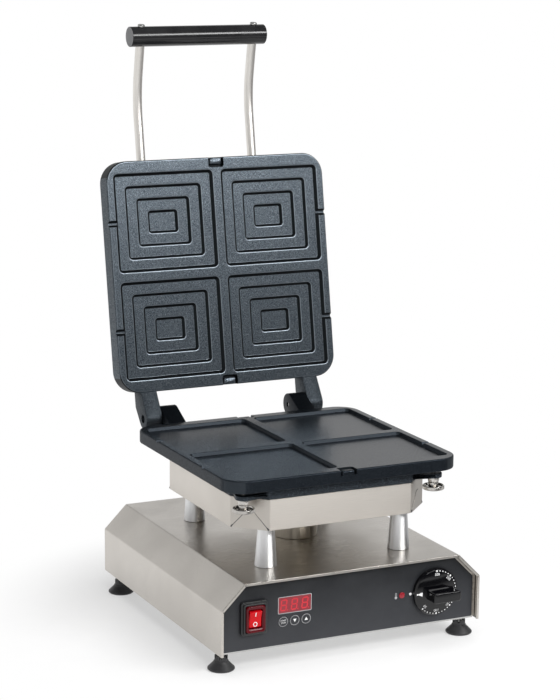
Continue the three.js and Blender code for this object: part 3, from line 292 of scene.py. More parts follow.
SIDES = ((-1, "left"), (1, "right"))
CORNERS = ("front_left", "front_right", "rear_left", "rear_right")
UPRIGHT = Matrix.Rotation(math.pi / 2, 4, "X")  # stands a flat drawing up, to face the reader in front
SIDEWAYS = Matrix.Rotation(math.pi / 2, 4, "Y")  # lays a turned piece along X
UPSIDE_DOWN = Matrix.Scale(-1, 4, (0, 0, 1))
hinge = next(joint for joint in frame["joints"] if joint["name"] == "lid_hinge")
pivot = Vector(hinge["pos_m"]) / MM
open_angle = hinge["range_deg"][1]
LID = Matrix.Translation(pivot) @ Matrix.Rotation(-math.radians(open_angle), 4, "X")
cover_low, cover_high = low_of("base_cover"), high_of("base_cover")
foil_y = low_of("panel_foil").y
print("pivot:", pivot, "foil at", round(foil_y, 2))

# %% [markdown]
# ## Finishes
# Grain, flecks and smudges are effects that several finishes share, so each is a small node group. It reads
# the object's own coordinates, puts out masks and heights, and the shader itself stays in the material.

# %% Node helpers
def feed(tree, made, wanted):
    """Joins a node's inputs to sockets, or gives them plain values."""
    for label, value in wanted.items():
        if isinstance(value, bpy.types.NodeSocket):
            tree.links.new(value, made.inputs[label])
        else:
            made.inputs[label].default_value = value
    return made


def node(tree, kind, wanted=None, **settings):
    """A node of one kind with its settings, its inputs fed."""
    made = tree.nodes.new(kind)
    for key, value in settings.items():
        setattr(made, key, value)
    return feed(tree, made, wanted or {})


def group_of(name, inputs, outputs, kind="Shader"):
    """An empty node group, the sockets it is given and the node that takes what it puts out."""
    tree = bpy.data.node_groups.new(name, kind + "NodeTree")
    for label, form, value in inputs:
        socket = tree.interface.new_socket(name=label, in_out="INPUT", socket_type="NodeSocket" + form)
        if value is not None:
            socket.default_value = value
    for label, form in outputs:
        tree.interface.new_socket(name=label, in_out="OUTPUT", socket_type="NodeSocket" + form)
    return tree, node(tree, "NodeGroupInput").outputs, node(tree, "NodeGroupOutput")


def noise(tree, vector, scale, detail, roughness):
    wanted = {"Vector": vector, "Scale": scale, "Detail": detail, "Roughness": roughness}
    return node(tree, "ShaderNodeTexNoise", wanted).outputs["Fac"]


def span(tree, value, low, high, to_low=0.0, to_high=1.0):
    """A value between low and high, drawn out or in to another span and held at its ends."""
    wanted = {"Value": value, "From Min": low, "From Max": high, "To Min": to_low, "To Max": to_high}
    return node(tree, "ShaderNodeMapRange", wanted).outputs["Result"]


def blend(tree, mask, *colours):
    """Mixes two colours by a mask; each is a colour or a socket."""
    made = node(tree, "ShaderNodeMix", {"Factor": mask}, data_type="RGBA")
    places = [i for i, socket in enumerate(made.inputs) if socket.type == "RGBA"]
    for place, colour in zip(places, colours):
        feed(tree, made, {place: (*colour, 1) if isinstance(colour, tuple) else colour})
    return next(socket for socket in made.outputs if socket.type == "RGBA")


def sum_of(tree, first, second, operation="ADD"):
    return node(tree, "ShaderNodeMath", {0: first, 1: second}, operation=operation).outputs["Value"]


def times(tree, first, second):
    return sum_of(tree, first, second, "MULTIPLY")


def less(tree, first, second):
    return sum_of(tree, first, second, "SUBTRACT")


def most(tree, first, second):
    return sum_of(tree, first, second, "MAXIMUM")


def vector_math(tree, operation, first, second=(0, 0, 0)):
    return node(tree, "ShaderNodeVectorMath", {0: first, 1: second}, operation=operation).outputs


def split_of(tree, vector):
    return node(tree, "ShaderNodeSeparateXYZ", {0: vector}).outputs


print("node helpers ready")

# %% Group: brushed grain
def make_grain():
    """Fine scratches along one axis and the slow cloudiness of a rolled sheet."""
    wanted = [("Vector", "Vector", None), ("Stretch", "Vector", (30.0, 2400.0, 2400.0))]
    tree, given, out = group_of("brushed_grain", wanted, [("Grain", "Float"), ("Cloud", "Float")])
    drawn = vector_math(tree, "MULTIPLY", given["Vector"], given["Stretch"])["Vector"]
    fine = noise(tree, drawn, 1.0, 3.0, 0.6)
    slow = noise(tree, given["Vector"], 14.0, 2.0, 0.5)
    feed(tree, out, {"Grain": span(tree, fine, 0.3, 0.7), "Cloud": span(tree, slow, 0.3, 0.7)})
    return tree


grain_group = make_grain()
print("group:", grain_group.name)

# %% Group: flecks of a sprayed coating
def make_flecks():
    """Light and dark specks in a sprayed coating and the low swell of its skin."""
    wanted = [("Vector", "Vector", None), ("Density", "Float", 1420.0)]
    got = [("Light", "Float"), ("Dark", "Float"), ("Swell", "Float")]
    tree, given, out = group_of("coating_flecks", wanted, got)
    aside = vector_math(tree, "ADD", given["Vector"], (3.1, 1.7, 5.3))["Vector"]
    feed(tree, out, {
        "Light": span(tree, noise(tree, given["Vector"], given["Density"], 2.0, 0.6), 0.48, 0.66),
        "Dark": span(tree, noise(tree, aside, given["Density"], 2.0, 0.6), 0.50, 0.66),
        "Swell": noise(tree, given["Vector"], 260.0, 3.0, 0.5),
    })
    return tree


fleck_group = make_flecks()
print("group:", fleck_group.name)

# %% Group: handling smudges
def make_smudge():
    """Soft patches that handling leaves on smooth plastic, and a fine moulding texture."""
    wanted = [("Vector", "Vector", None), ("Texture", "Float", 1800.0)]
    tree, given, out = group_of("handling_smudge", wanted, [("Patch", "Float"), ("Fine", "Float")])
    feed(tree, out, {
        "Patch": span(tree, noise(tree, given["Vector"], 34.0, 3.0, 0.55), 0.35, 0.7),
        "Fine": noise(tree, given["Vector"], given["Texture"], 2.0, 0.5),
    })
    return tree


smudge_group = make_smudge()
print("group:", smudge_group.name)

# %% A start for every material
def start(name, **plain):
    """A material with its shader, its object coordinates and the plain values that don't vary."""
    material = bpy.data.materials.new(name)
    material.use_nodes = True
    tree = material.node_tree
    shader = tree.nodes["Principled BSDF"]
    feed(tree, shader, {label.replace("_", " "): value for label, value in plain.items()})
    where = node(tree, "ShaderNodeTexCoord").outputs["Object"]
    return material, tree, shader, where


def use_group(tree, group, where, **values):
    """What a group puts out; its first input is the place or the way."""
    return node(tree, "ShaderNodeGroup", {0: where, **values}, node_tree=group).outputs


def bump(tree, height, distance, strength=1.0):
    wanted = {"Height": height, "Distance": distance, "Strength": strength}
    return node(tree, "ShaderNodeBump", wanted).outputs["Normal"]


print("materials start here")

# %% [markdown]
# Brushed stainless sheet is dull along its grain and bright at its folds. The grain runs along the machine, so
# the noise is stretched that way, and a slow cloud keeps a large flat face from looking like plastic.

# %% Metals
def metal(name, light, dark, rough, stretch, depth=0.00001, spread=0.08, anisotropic=0.0):
    """A metal whose colour and roughness vary with its grain, which is so many metres deep.

    A quarter turn of the anisotropy spreads a light across the grain, up and down a wall or a leg.
    """
    plain = {"Metallic": 1.0, "Anisotropic": anisotropic, "Anisotropic_Rotation": 0.25}
    material, tree, shader, where = start(name, **plain)
    got = use_group(tree, grain_group, where, Stretch=stretch)
    mask = sum_of(tree, times(tree, got["Grain"], 0.6), times(tree, got["Cloud"], 0.4))
    feed(tree, shader, {
        "Base Color": blend(tree, mask, dark, light),
        "Roughness": span(tree, mask, 0.0, 1.0, rough + spread, rough - spread),
        "Normal": bump(tree, got["Grain"], depth),
    })
    return material


# The grain's stretch along each axis: a small number draws the scratches out that way.
along_x, round_z, all_ways = (40.0, 2600.0, 2600.0), (900.0, 900.0, 60.0), (900.0, 900.0, 900.0)
stainless = metal("brushed_stainless", (0.63, 0.597, 0.555), (0.53, 0.502, 0.465), 0.30, along_x, depth=0.000015)
stainless_wall = metal(
    "brushed_stainless_wall", (0.72, 0.68, 0.63), (0.62, 0.585, 0.54), 0.42, along_x,
    depth=0.00003, spread=0.05, anisotropic=0.8)
polished = metal(
    "turned_aluminium", (0.975, 0.98, 0.99), (0.90, 0.91, 0.92), 0.44, round_z,
    depth=0.000004, spread=0.05, anisotropic=0.85)
rod_steel = metal(
    "ground_rod", (0.90, 0.872, 0.83), (0.80, 0.775, 0.735), 0.42, (2600.0, 60.0, 60.0), depth=0.00002, spread=0.04)
nickel = metal(
    "turned_nickel", (0.68, 0.66, 0.63), (0.52, 0.50, 0.475), 0.18, round_z,
    depth=0.000001, spread=0.05, anisotropic=0.6)
rolled = metal(
    "rolled_dark_steel", (0.56, 0.52, 0.45), (0.45, 0.415, 0.36), 0.36, round_z,
    depth=0.000004, spread=0.05, anisotropic=0.8)
zinc = metal("zinc_plate", (0.62, 0.62, 0.61), (0.48, 0.48, 0.47), 0.36, all_ways)
brass = metal("turned_brass", (0.70, 0.54, 0.27), (0.58, 0.43, 0.20), 0.32, all_ways)
print("metals:", [m.name for m in bpy.data.materials][-8:])

# %% [markdown]
# The plates are sprayed with a non-stick coating. It is a dark ground with light and dark flecks and a skin
# that swells a little, half glossy. Pocket walls get painted shade, nearly black, and the roundings at their
# rims a painted highlight. The lower plate's coating is a darker copy of the lid's, painted shade, and the
# lid's ground is a little bluer.

# %% Sprayed coatings
# Nearly black: the colour of the painted shade on pocket walls, and of the darkened outer sides and lugs.
NEAR_BLACK = (0.004, 0.005, 0.006)


def coating(name, ground, light, dark, rough, smooth, share, wall_shade_share=1.0, metallic=0.6):
    """A dark ground with a share of light and dark flecks, smooth where it is flat and rough where it leans.

    A face's 'steep' is 0 where it is flat, up to 1 on pocket walls, -0.9 on outer sides and -1 on lugs. Faces
    that lean a little, the roundings at the rims, get a painted highlight; pocket walls get painted shade, nearly
    black; outer sides are darkened a little and lugs by half.
    """
    material, tree, shader, where = start(name, Metallic=metallic)
    got = use_group(tree, fleck_group, where)
    steep = node(tree, "ShaderNodeAttribute", attribute_name="steep").outputs["Fac"]
    colour = blend(tree, times(tree, got["Light"], share), ground, light)
    colour = blend(tree, times(tree, got["Dark"], share), colour, dark)
    # Painted highlight: faces that lean a little, the roundings at the pocket rims, are mixed half way to the light
    # fleck colour.
    wear_and_highlight = times(tree, span(tree, steep, 0.002, 0.012), 0.5)
    colour = blend(tree, wear_and_highlight, colour, light)
    # Painted shade: pocket walls, and notch faces marked 1, are coloured nearly black by this share.
    painted_wall_shade = span(tree, steep, 0.035, 0.11, 0.0, wall_shade_share)
    outer = span(tree, steep, -1.0, -0.9, 0.5, 0.05)
    dullness = span(tree, sum_of(tree, steep, 0.0, "ABSOLUTE"), 0.0, 0.12, smooth, rough)
    feed(tree, shader, {
        "Base Color": blend(tree, most(tree, painted_wall_shade, outer), colour, NEAR_BLACK),
        "Roughness": less(tree, dullness, times(tree, got["Light"], 0.08)),
        "Normal": bump(tree, got["Swell"], 0.00012, 0.5),
    })
    return material


coat_upper = coating(
    "speckled_coating", (0.056, 0.070, 0.085), (0.34, 0.39, 0.435), (0.006, 0.008, 0.012),
    rough=0.56, smooth=0.365, share=0.76, wall_shade_share=0.95, metallic=0.88)
# The lower plate's coating is a darker copy of the lid's: painted shade.
coat_lower_shaded = coating(
    "dark_coating_painted_shade", (0.010, 0.014, 0.020), (0.15, 0.18, 0.215), (0.003, 0.005, 0.007),
    rough=0.50, smooth=0.29, share=0.30, wall_shade_share=0.6, metallic=0.85)
coat_block = coating(
    "coated_block", (0.014, 0.020, 0.028), (0.14, 0.17, 0.20), (0.004, 0.006, 0.009),
    rough=0.50, smooth=0.50, share=0.7)
print("coatings:", coat_upper.name, coat_lower_shaded.name, coat_block.name)

# %% [markdown]
# Plastics differ in gloss more than in colour. The knob and the grip bar are polished black, the switch frame
# is a little duller, the feet are rubber, and the panel's foil is satin with painted shade, darker towards its
# upper edge.

# %% Plastics, rubber and glass-like lenses
def plastic(name, colour, wear_and_highlight, rough, texture=1800.0, depth=0.00001, **plain):
    """A plastic with worn patches and a moulding texture that is so many metres deep."""
    material, tree, shader, where = start(name, **plain)
    got = use_group(tree, smudge_group, where, Texture=texture)
    feed(tree, shader, {
        "Base Color": blend(tree, got["Patch"], colour, wear_and_highlight),
        "Roughness": span(tree, got["Patch"], 0, 1, rough, rough + 0.09),
        "Normal": bump(tree, got["Fine"], depth, 0.6),
    })
    return material


gloss = plastic(
    "gloss_black", (0.002, 0.002, 0.003), (0.004, 0.004, 0.005), 0.03, 60.0, 0.000005, Specular_IOR_Level=0.45)
bar_black = plastic("turned_black_bar", (0.014, 0.014, 0.015), (0.020, 0.020, 0.021), 0.14, 60.0, 0.000005)
sawn_black = plastic("sawn_black", (0.23, 0.232, 0.24), (0.28, 0.282, 0.29), 0.5, 1600.0, 0.00002)
frame_black = plastic("moulded_black", (0.014, 0.015, 0.016), (0.022, 0.023, 0.024), 0.34)
rubber = plastic("black_rubber", (0.026, 0.026, 0.028), (0.040, 0.040, 0.042), 0.42, 900.0, 0.00003)
bezel_red = plastic(
    "deep_red_bezel", (0.075, 0.001, 0.004), (0.11, 0.002, 0.006), 0.16, Specular_IOR_Level=0.25)
rocker_red = plastic("lit_red_rocker", (0.52, 0.002, 0.006), (0.64, 0.004, 0.010), 0.2, Specular_IOR_Level=0.2)
lamp_red = plastic("lamp_red", (0.26, 0.005, 0.014), (0.36, 0.012, 0.024), 0.22, 700.0, 0.0004)
digit_red = plastic("digit_red", (0.66, 0.02, 0.035), (0.58, 0.02, 0.035), 0.4)
print_white = plastic("print_white", (0.95, 0.95, 0.95), (0.86, 0.86, 0.86), 0.5)
print_grey = plastic("print_grey", (0.42, 0.42, 0.43), (0.34, 0.34, 0.35), 0.5)
wool = plastic("mineral_wool", (0.62, 0.58, 0.47), (0.72, 0.69, 0.58), 0.9, 700.0, 0.0006)
ceramic = plastic("ceramic", (0.66, 0.63, 0.58), (0.72, 0.70, 0.66), 0.55)
board = plastic("circuit_board", (0.02, 0.11, 0.05), (0.03, 0.14, 0.07), 0.4)
print("plastics:", len(bpy.data.materials))

# %% The panel's printed foil
def make_foil_material():
    """Satin, with painted shade that darkens it towards the panel's upper edge."""
    material, tree, shader, where = start("panel_foil_print", Specular_IOR_Level=0.3)
    got = use_group(tree, smudge_group, where, Texture=2200.0)
    height = span(tree, split_of(tree, where)["Z"], cover_low.z * MM, cover_high.z * MM)
    # Painted shade: the foil's colour darkens from the cover's bottom to its top.
    colour = blend(tree, height, (0.040, 0.042, 0.048), (0.006, 0.007, 0.009))
    feed(tree, shader, {
        "Base Color": blend(tree, times(tree, got["Patch"], 0.12), colour, (0.08, 0.085, 0.09)),
        "Roughness": span(tree, got["Fine"], 0.3, 0.7, 0.42, 0.54),
        "Normal": bump(tree, got["Fine"], 0.00002, 0.5),
    })
    return material


def make_window_material():
    """The display's window shows the module behind it: a dark red face with a fine square mesh."""
    material, tree, shader, where = start("display_red")
    pitch = 0.00125
    lines = []
    for label in ("X", "Z"):
        wave = times(tree, split_of(tree, where)[label], 2 * math.pi / pitch)
        lines.append(span(tree, sum_of(tree, wave, 0.0, "SINE"), 0.2, 1.0))
    got = use_group(tree, smudge_group, where, Texture=1600.0)
    ground = blend(tree, most(tree, *lines), (0.30, 0.020, 0.032), (0.17, 0.012, 0.022))
    feed(tree, shader, {
        "Base Color": blend(tree, times(tree, got["Patch"], 0.25), ground, (0.36, 0.05, 0.06)),
        "Roughness": span(tree, got["Fine"], 0, 1, 0.28, 0.36),
    })
    return material


foil = make_foil_material()
window_red = make_window_material()
print("foil and window ready")

# %% [markdown]
# ## The folded base
# The cover is one sheet, 1.5 mm thick, bent over four soft bends and hemmed round its front and rear edges. A box
# with bevelled edges would show neither the thickness nor the notches between the hems, so the bent skin and
# each hem strip are drawn from their sections, as the press brake makes them.

# %% Sections of bent sheet
SHEET, BEND, CHAMFER = 1.5, 3.0, 29.5  # the steel's thickness, a bend's outer radius, a slope's height
HEM_BEND, HEM_REACH, HEM_GAP = 0.5, 3.1, 0.35  # a hem's bend, its width and its gap to the next bend


def offset_line(line, distance):
    """The same line moved sideways, to its left, by a distance."""
    out = []
    for i, (a, b) in enumerate(line):
        before = Vector(line[max(i - 1, 0)])
        after = Vector(line[min(i + 1, len(line) - 1)])
        here = Vector((a, b))
        one = (here - before).normalized() if i else (after - here).normalized()
        two = (after - here).normalized() if i + 1 < len(line) else one
        way = (one + two).normalized()
        side = Vector((-way.y, way.x))
        reach = distance / max(0.3, way.dot(one))
        out.append((a + side.x * reach, b + side.y * reach))
    return out


cover_half = cover_high.x
cover_corners = [
    (-cover_half, cover_low.z), (-cover_half, cover_high.z - CHAMFER), (-cover_half + CHAMFER, cover_high.z),
    (cover_half - CHAMFER, cover_high.z), (cover_half, cover_high.z - CHAMFER), (cover_half, cover_low.z),
]
print("cover corners:", len(cover_corners))

# %% The cover's skin, and a hem for each facet
def make_skin():
    outer = rounded([(x, z, BEND) for x, z in cover_corners], 6)
    inner = offset_line(outer, -SHEET)
    near, far = cover_low.y + HEM_BEND, cover_high.y - HEM_BEND
    rings = []
    for (ax, az), (bx, bz) in zip(outer, inner):
        rings.append([(ax, near, az), (ax, far, az), (bx, far, bz), (bx, near, bz)])
    return loft(rings)


def make_hems():
    """A strip along each facet: the skin turns in over a small bend and ends in a short return."""
    turn = [(HEM_BEND * (1 - math.cos(a)), HEM_BEND * (1 - math.sin(a))) for a in quarter(6)]
    back = [(HEM_REACH - 0.25, 0.0), (HEM_REACH, 0.25), (HEM_REACH, SHEET)]
    inner = 0.3
    fold = [(SHEET + inner * (1 - math.sin(a)), SHEET + inner * (1 - math.cos(a))) for a in quarter(3)]
    section = turn + back + fold + [(SHEET, HEM_BEND)]
    bend_room = BEND * math.tan(math.pi / 8) + HEM_GAP
    facets = list(zip(cover_corners, cover_corners[1:]))
    strips = []
    for i, ends in enumerate(facets):
        a, b = Vector(ends[0]), Vector(ends[1])
        way = (b - a).normalized()
        inward = Vector((way.y, -way.x))
        a = a + way * (bend_room if i else 0)
        b = b - way * (bend_room if i + 1 < len(facets) else 0)
        for edge, sign in ((cover_low.y, 1), (cover_high.y, -1)):
            rings = []
            for end in (a, b):
                rings.append([(end.x + inward.x * n, edge + sign * y, end.y + inward.y * n) for n, y in section])
            strips.append(loft(rings))
    return joined(*strips)


cover_shape = joined(make_skin(), make_hems())
cover = piece_of("folded_cover", cover_shape, stainless, "base", ["base_cover"], sharp=40)
print("cover faces:", len(cover.data.polygons))

# %% [markdown]
# The panel is a printed foil on the chassis wall. It is a flat sheet with holes, so its outline and its holes
# are filled as one face and raised. What is printed on it lies a twentieth of a millimetre above it.

# %% Flat sheets with holes, and signs
def pairs(items):
    """Each item with the next one, all the way round."""
    return zip(items, [*items[1:], items[0]])


def sheet_with_holes(outline, holes, thickness):
    """A flat sheet drawn in (x, y), raised along Z; holes are outlines too."""
    bm = bmesh.new()
    loops = []
    for line in (outline, *holes):
        first = len(bm.verts)
        verts = [bm.verts.new((x, y, 0)) for x, y in line]
        loops.append(range(first, first + len(line)))
        for two in pairs(verts):
            bm.edges.new(two)
    bm.verts.index_update()
    if holes:
        bmesh.ops.triangle_fill(bm, use_beauty=True, use_dissolve=False, edges=bm.edges[:])
        faces = [tuple(v.index for v in face.verts) for face in bm.faces]
    else:
        faces = [tuple(loops[0])]
    points = [v.co.copy() for v in bm.verts]
    bm.free()
    count = len(points)
    points += [p + UP * thickness for p in points]
    faces += [tuple(count + i for i in reversed(face)) for face in faces]
    faces += [(a, b, count + b, count + a) for loop in loops for a, b in pairs(loop)]
    return points, faces


def round_rect(x, y, width, height, corner):
    return [(x + a, y + b) for a, b, _ in rect_ring(width, height, corner, 0, 5)]


def round_corners(points, radius, steps=4):
    """The same closed outline with every corner rounded."""
    out = []
    for i, here in enumerate(points):
        before, after = points[i - 1], points[(i + 1) % len(points)]
        out += rounded([(*before, 0), (*here, radius), (*after, 0)], steps)[1:-1]
    return out


# A drawing of the panel has x to the right, y up from the floor and z towards the reader.
PANEL = Matrix.Translation((0, foil_y, 0)) @ UPRIGHT
PRINT, PRINT_LIFT = 0.06, 0.01  # how thick print is and how far it stands off what it is printed on


def on_panel(shape, at=Vector((0, 0, 0)), lift=0):
    """Sets a drawing down on the panel, at a place of the frame and lifted off the foil."""
    return moved(shifted(shape, at.x, at.z, lift), PANEL)


def flat_print(outline, *holes):
    return sheet_with_holes(outline, holes, PRINT)


def lettering(text, size, space=1.0):
    """The shape of some plain letters, centred, as thin as print."""
    curve = bpy.data.curves.new("letters", "FONT")
    curve.body = text
    curve.size = size
    curve.align_x = "CENTER"
    curve.align_y = "CENTER"
    curve.space_character = space
    curve.resolution_u = 3
    curve.extrude = PRINT / 2
    item = object_of("letters", curve)
    mesh = result_of(item)
    shape = [v.co.copy() for v in mesh.vertices], [tuple(p.vertices) for p in mesh.polygons]
    bpy.data.objects.remove(item)
    bpy.data.meshes.remove(mesh)
    return shifted(shape, z=PRINT / 2)


print("letters:", len(lettering("50", 4)[0]))

# %% Places of the controls, from the frame
switch_at = middle_of("switch_frame")
window_at = middle_of("display_window")
keys_at = {name: middle_of(f"key_{name}") for name in ("start", "down", "up")}
lamp_at = middle_of("indicator_lamp")
dial_at = middle_of("control_knob")
print("dial at", [round(v, 1) for v in dial_at])

# %% The foil and the steel edge round it
def panel_outline(side_inset, slope_inset, top_inset):
    """The panel's outline, set in from the cover's sides, slopes and top."""
    side, top = cover_half - side_inset, cover_high.z - top_inset
    slope = cover_half + cover_high.z - CHAMFER - slope_inset * math.sqrt(2)
    low = cover_low.z + 2.3
    return round_corners([
        (-side, low), (side, low), (side, slope - side), (slope - top, top), (top - slope, top),
        (-side, slope - side),
    ], 1.6)


SWITCH_HOLE, WINDOW_HOLE = (22.6, 30.6, 3), (42.3, 19.5, 1)
LAMP_HOLE, DIAL_HOLE, KEY_HOLE = 3.6, 5.3, 6.2


def make_panel(outline, thickness, depth):
    """A sheet with the openings of all controls, its back at a depth behind the foil's face."""
    holes = [
        round_rect(switch_at.x, switch_at.z, *SWITCH_HOLE), round_rect(window_at.x, window_at.z, *WINDOW_HOLE),
        circle(lamp_at.x, lamp_at.z, LAMP_HOLE, 32), circle(dial_at.x, dial_at.z, DIAL_HOLE, 32),
        *[circle(at.x, at.z, KEY_HOLE) for at in keys_at.values()],
    ]
    return on_panel(sheet_with_holes(outline, holes, thickness), lift=-depth)


printed = make_panel(panel_outline(5.8, 5.2, 3.6), thickness=0.3, depth=0.3)
panel = piece_of("panel_print_foil", printed, foil, "base", ["panel_foil"])
steel_edge = make_panel(panel_outline(2.5, 2.4, 2.5), thickness=0.45, depth=0.8)
piece_of("panel_steel_edge", steel_edge, stainless, "base")
print("foil faces:", len(panel.data.polygons))

# %% [markdown]
# The main switch sits in a stepped black frame. Its red bezel is a glossy moulding that slopes in to the rocker,
# and the rocker carries I and O. Each is drawn as rings in depth, from the foil towards the reader.

# %% Switch frame and bezel
SWITCH_FRAME, BEZEL = (33.4, 40.4), (24.5, 32)


def make_switch_frame():
    """Rings of (inset, height), with two steps."""
    width, height = SWITCH_FRAME
    profile = [(0, 0.3, 0), (0, 4.0, 0.9), (2.1, 4.0, 0.4), (2.1, 7.0, 1.0), (4.1, 7.0, 0.3), (4.1, 0.3, 0)]
    rings = [rect_ring(width - 2 * i, height - 2 * i, max(3.4 - 0.6 * i, 1.5), z) for i, z in rounded(profile)]
    return on_panel(loft(rings, around=True), switch_at)


def make_bezel():
    """Rings of (inset at the sides, inset above and below, height)."""
    profile = [
        (0, 0, 0.5), (0, 0, 7.4), (0.15, 0.15, 8.2), (0.6, 0.6, 8.75), (1.3, 1.3, 9.0), (2.0, 2.0, 8.85),
        (3.3, 4.1, 7.7), (3.9, 4.8, 7.2), (4.0, 5.0, 6.8), (4.0, 5.0, 0.5)]
    width, height = BEZEL
    rings = [rect_ring(width - 2 * a, height - 2 * b, max(3.6 - 0.75 * a, 0.6), z) for a, b, z in profile]
    return on_panel(loft(rings, around=True), switch_at)


stepped = make_switch_frame()
piece_of("switch_stepped_frame", stepped, frame_black, "base", ["switch_frame"], sharp=40)
bezel = piece_of("switch_bezel", make_bezel(), bezel_red, "base", sharp=50)
print("bezel faces:", len(bezel.data.polygons))

# %% The black body of the switch behind the wall
def make_switch_back():
    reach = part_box("switch_body")[1].y / MM - foil_y
    block = rect_loft(21.8, 29.8, 2.5, [(0, -0.6), (0, -reach + 9), (1, -reach + 8)])
    floor = rect_loft(17.5, 23.0, 0.6, [(0, -0.6), (0, 0.4)])
    tab = rect_loft(6.3, 0.8, 0.1, [(0, -reach + 10), (0, -reach + 1), (0.2, -reach)])
    return on_panel(joined(block, floor, shifted(tab, y=-7.5), shifted(tab, y=7.5)), switch_at)


switch_back = piece_of(
    "switch_back", make_switch_back(), frame_black, "base", ["switch_body"], bevel=0.2)

# %% The rocker with its two signs
ROCKER_LEAN = math.radians(8)
ROCKER_DEPTH = 3.0  # from the foil to the pivot, towards the reader
ROCKER_RADIUS, ROCKER_RISE, ROCKER_WIDTH = 10.4, 4.6, 15.3
ROCKER = Matrix.Translation((switch_at.x, switch_at.z, ROCKER_DEPTH)) @ Matrix.Rotation(ROCKER_LEAN, 4, "X")
rocker_turn = math.asin(ROCKER_RISE / ROCKER_RADIUS)
rocker_reach = ROCKER_RADIUS * math.cos(rocker_turn)
rocker_valley = ROCKER_RISE - ROCKER_RADIUS * math.tan(ROCKER_LEAN)


def make_rocker():
    round_back = arc(ROCKER_RADIUS, [rocker_turn - (math.pi + 2 * rocker_turn) * k / 24 for k in range(25)])
    face = rounded([(-rocker_reach, ROCKER_RISE, 0), (0, rocker_valley, 30), (rocker_reach, ROCKER_RISE, 0)], 8)
    outline = round_back + face[1:-1]
    solid = loft([[(x, y, z) for y, z in outline] for x in (-ROCKER_WIDTH / 2, ROCKER_WIDTH / 2)])
    return on_panel(moved(solid, ROCKER))


def make_rocker_signs():
    bar = flat_print(round_rect(0, 0, 1.1, 5.2, 0.3))
    ring = flat_print(circle(0, 0, 2.75, 40), circle(0, 0, 1.85, 40))
    fall = (ROCKER_RISE - rocker_valley) / rocker_reach
    slope = math.degrees(math.atan(fall))
    signs = []
    for shape, middle, sign in ((bar, 6.3, 1), (ring, -5.9, -1)):
        leant = turned_by(shape, sign * slope, "X")
        signs.append(shifted(leant, y=middle, z=rocker_valley + abs(middle) * fall + 0.02))
    return on_panel(moved(joined(*signs), ROCKER))


rocker = object_of("rocker_key", mesh_of("rocker_key", make_rocker(), bevel=0.35, bevel_steps=3, bevel_angle=40))
keep(rocker, rocker_red, "rocker", ["rocker"], sharp=50)
piece_of("rocker_signs", make_rocker_signs(), print_white, "rocker")
print("rocker faces:", len(rocker.data.polygons))

# %% [markdown]
# The display is a red window flush in the foil, with a thin pale line round it and three figures of seven bars
# each. A figure is drawn once from its seven bars, leant a little, and set down three times with its point.

# %% Display window, outline and figures
WINDOW = (41.9, 19.1)
FIGURE = (6.7, 12.4)  # between the middles of a figure's bars


def figure_bar(x, y, length, upright):
    """One pointed bar of a figure about (x, y), a little short of its length."""
    half, tip = length / 2 - 0.14, 0.8
    line = [(-half, 0), (-half + tip, tip), (half - tip, tip), (half, 0), (half - tip, -tip), (-half + tip, -tip)]
    line = [(-b, a) for a, b in line] if upright else line
    return flat_print([(x + a, y + b) for a, b in line])


def make_figure():
    w, h = FIGURE
    bars = [figure_bar(0, y, w, False) for y in (-h / 2, 0, h / 2)]
    bars += [figure_bar(x, y, h / 2, True) for x in (-w / 2, w / 2) for y in (-h / 4, h / 4)]
    lean = Matrix.Identity(4)
    lean[0][1] = math.tan(math.radians(7))
    return moved(joined(*bars, flat_print(circle(w / 2 + 1.9, -h / 2, 0.75, 20))), lean)


def make_window_line():
    w, h = WINDOW
    return flat_print(round_rect(0, 0, w + 1.3, h + 1.3, 1.4), round_rect(0, 0, w - 0.3, h - 0.3, 0.8))


window = rect_loft(*WINDOW, 1.0, [(0.15, -0.8), (0, -0.65), (0, -0.12), (0.12, 0)])
figure_places = [window_at.x + x - 0.6 for x in (-13.6, 0, 13.6)]
figures = joined(*[shifted(make_figure(), x, window_at.z, PRINT_LIFT) for x in figure_places])
piece_of("display_panel", on_panel(window, window_at), window_red, "base", ["display_window"])
piece_of("display_figures", on_panel(figures), digit_red, "base")
piece_of("display_line", on_panel(make_window_line(), window_at, PRINT_LIFT), print_grey, "base")
print("figures:", len(figures[1]), "faces")

# %% [markdown]
# The three keys are discs in the foil that give by half a millimetre. Each has a thin printed ring and its sign.

# %% Keys and their signs
KEY_TOP = 0.3


def key_sign(name):
    if name == "start":
        return joined(*[shifted(lettering(word, 2.5, 1.05), y=y) for word, y in (("START", 1.35), ("STOP", -1.45))])
    size = 2.1 if name == "up" else -2.1
    points = [(-2.2, -size * 0.8), (2.2, -size * 0.8), (0, size)]
    return flat_print(round_corners(points, 0.15, 2))


key_disc = turned(rounded([(0, -0.2, 0), (5.95, -0.2, 0.1), (5.95, KEY_TOP, 0.2), (0, KEY_TOP, 0)], 3), 64)
key_shape = joined(key_disc, turned([(0, -8.3), (2, -8.3), (2, -0.1), (0, -0.1)], 24))
key_ring = flat_print(circle(0, 0, 5.85, 64), circle(0, 0, 5.3, 64))
for name, at in keys_at.items():
    body = f"{name}_key"
    piece_of(f"key_disc_{name}", on_panel(key_shape, at), foil, body, [f"key_{name}"])
    for kind, shape, material in (("ring", key_ring, print_grey), ("figure", key_sign(name), print_white)):
        piece_of(f"key_{kind}_{name}", on_panel(shape, at, KEY_TOP + PRINT_LIFT), material, body)
print("keys:", list(keys_at))

# %% [markdown]
# The pilot lamp is a red lens with a pebbled face. A thermometer sign and an index dot are printed beside it.

# %% Lamp and panel signs
def make_lamp():
    profile = [(0, -20), (3.5, -20), (3.5, 0.1), (3.8, 0.1), (3.8, 0.7)]
    profile += [(3.8 * math.cos(a), 0.7 + 0.9 * math.sin(a)) for a in quarter(6)[1:]]
    return on_panel(turned(profile, 48), lamp_at)


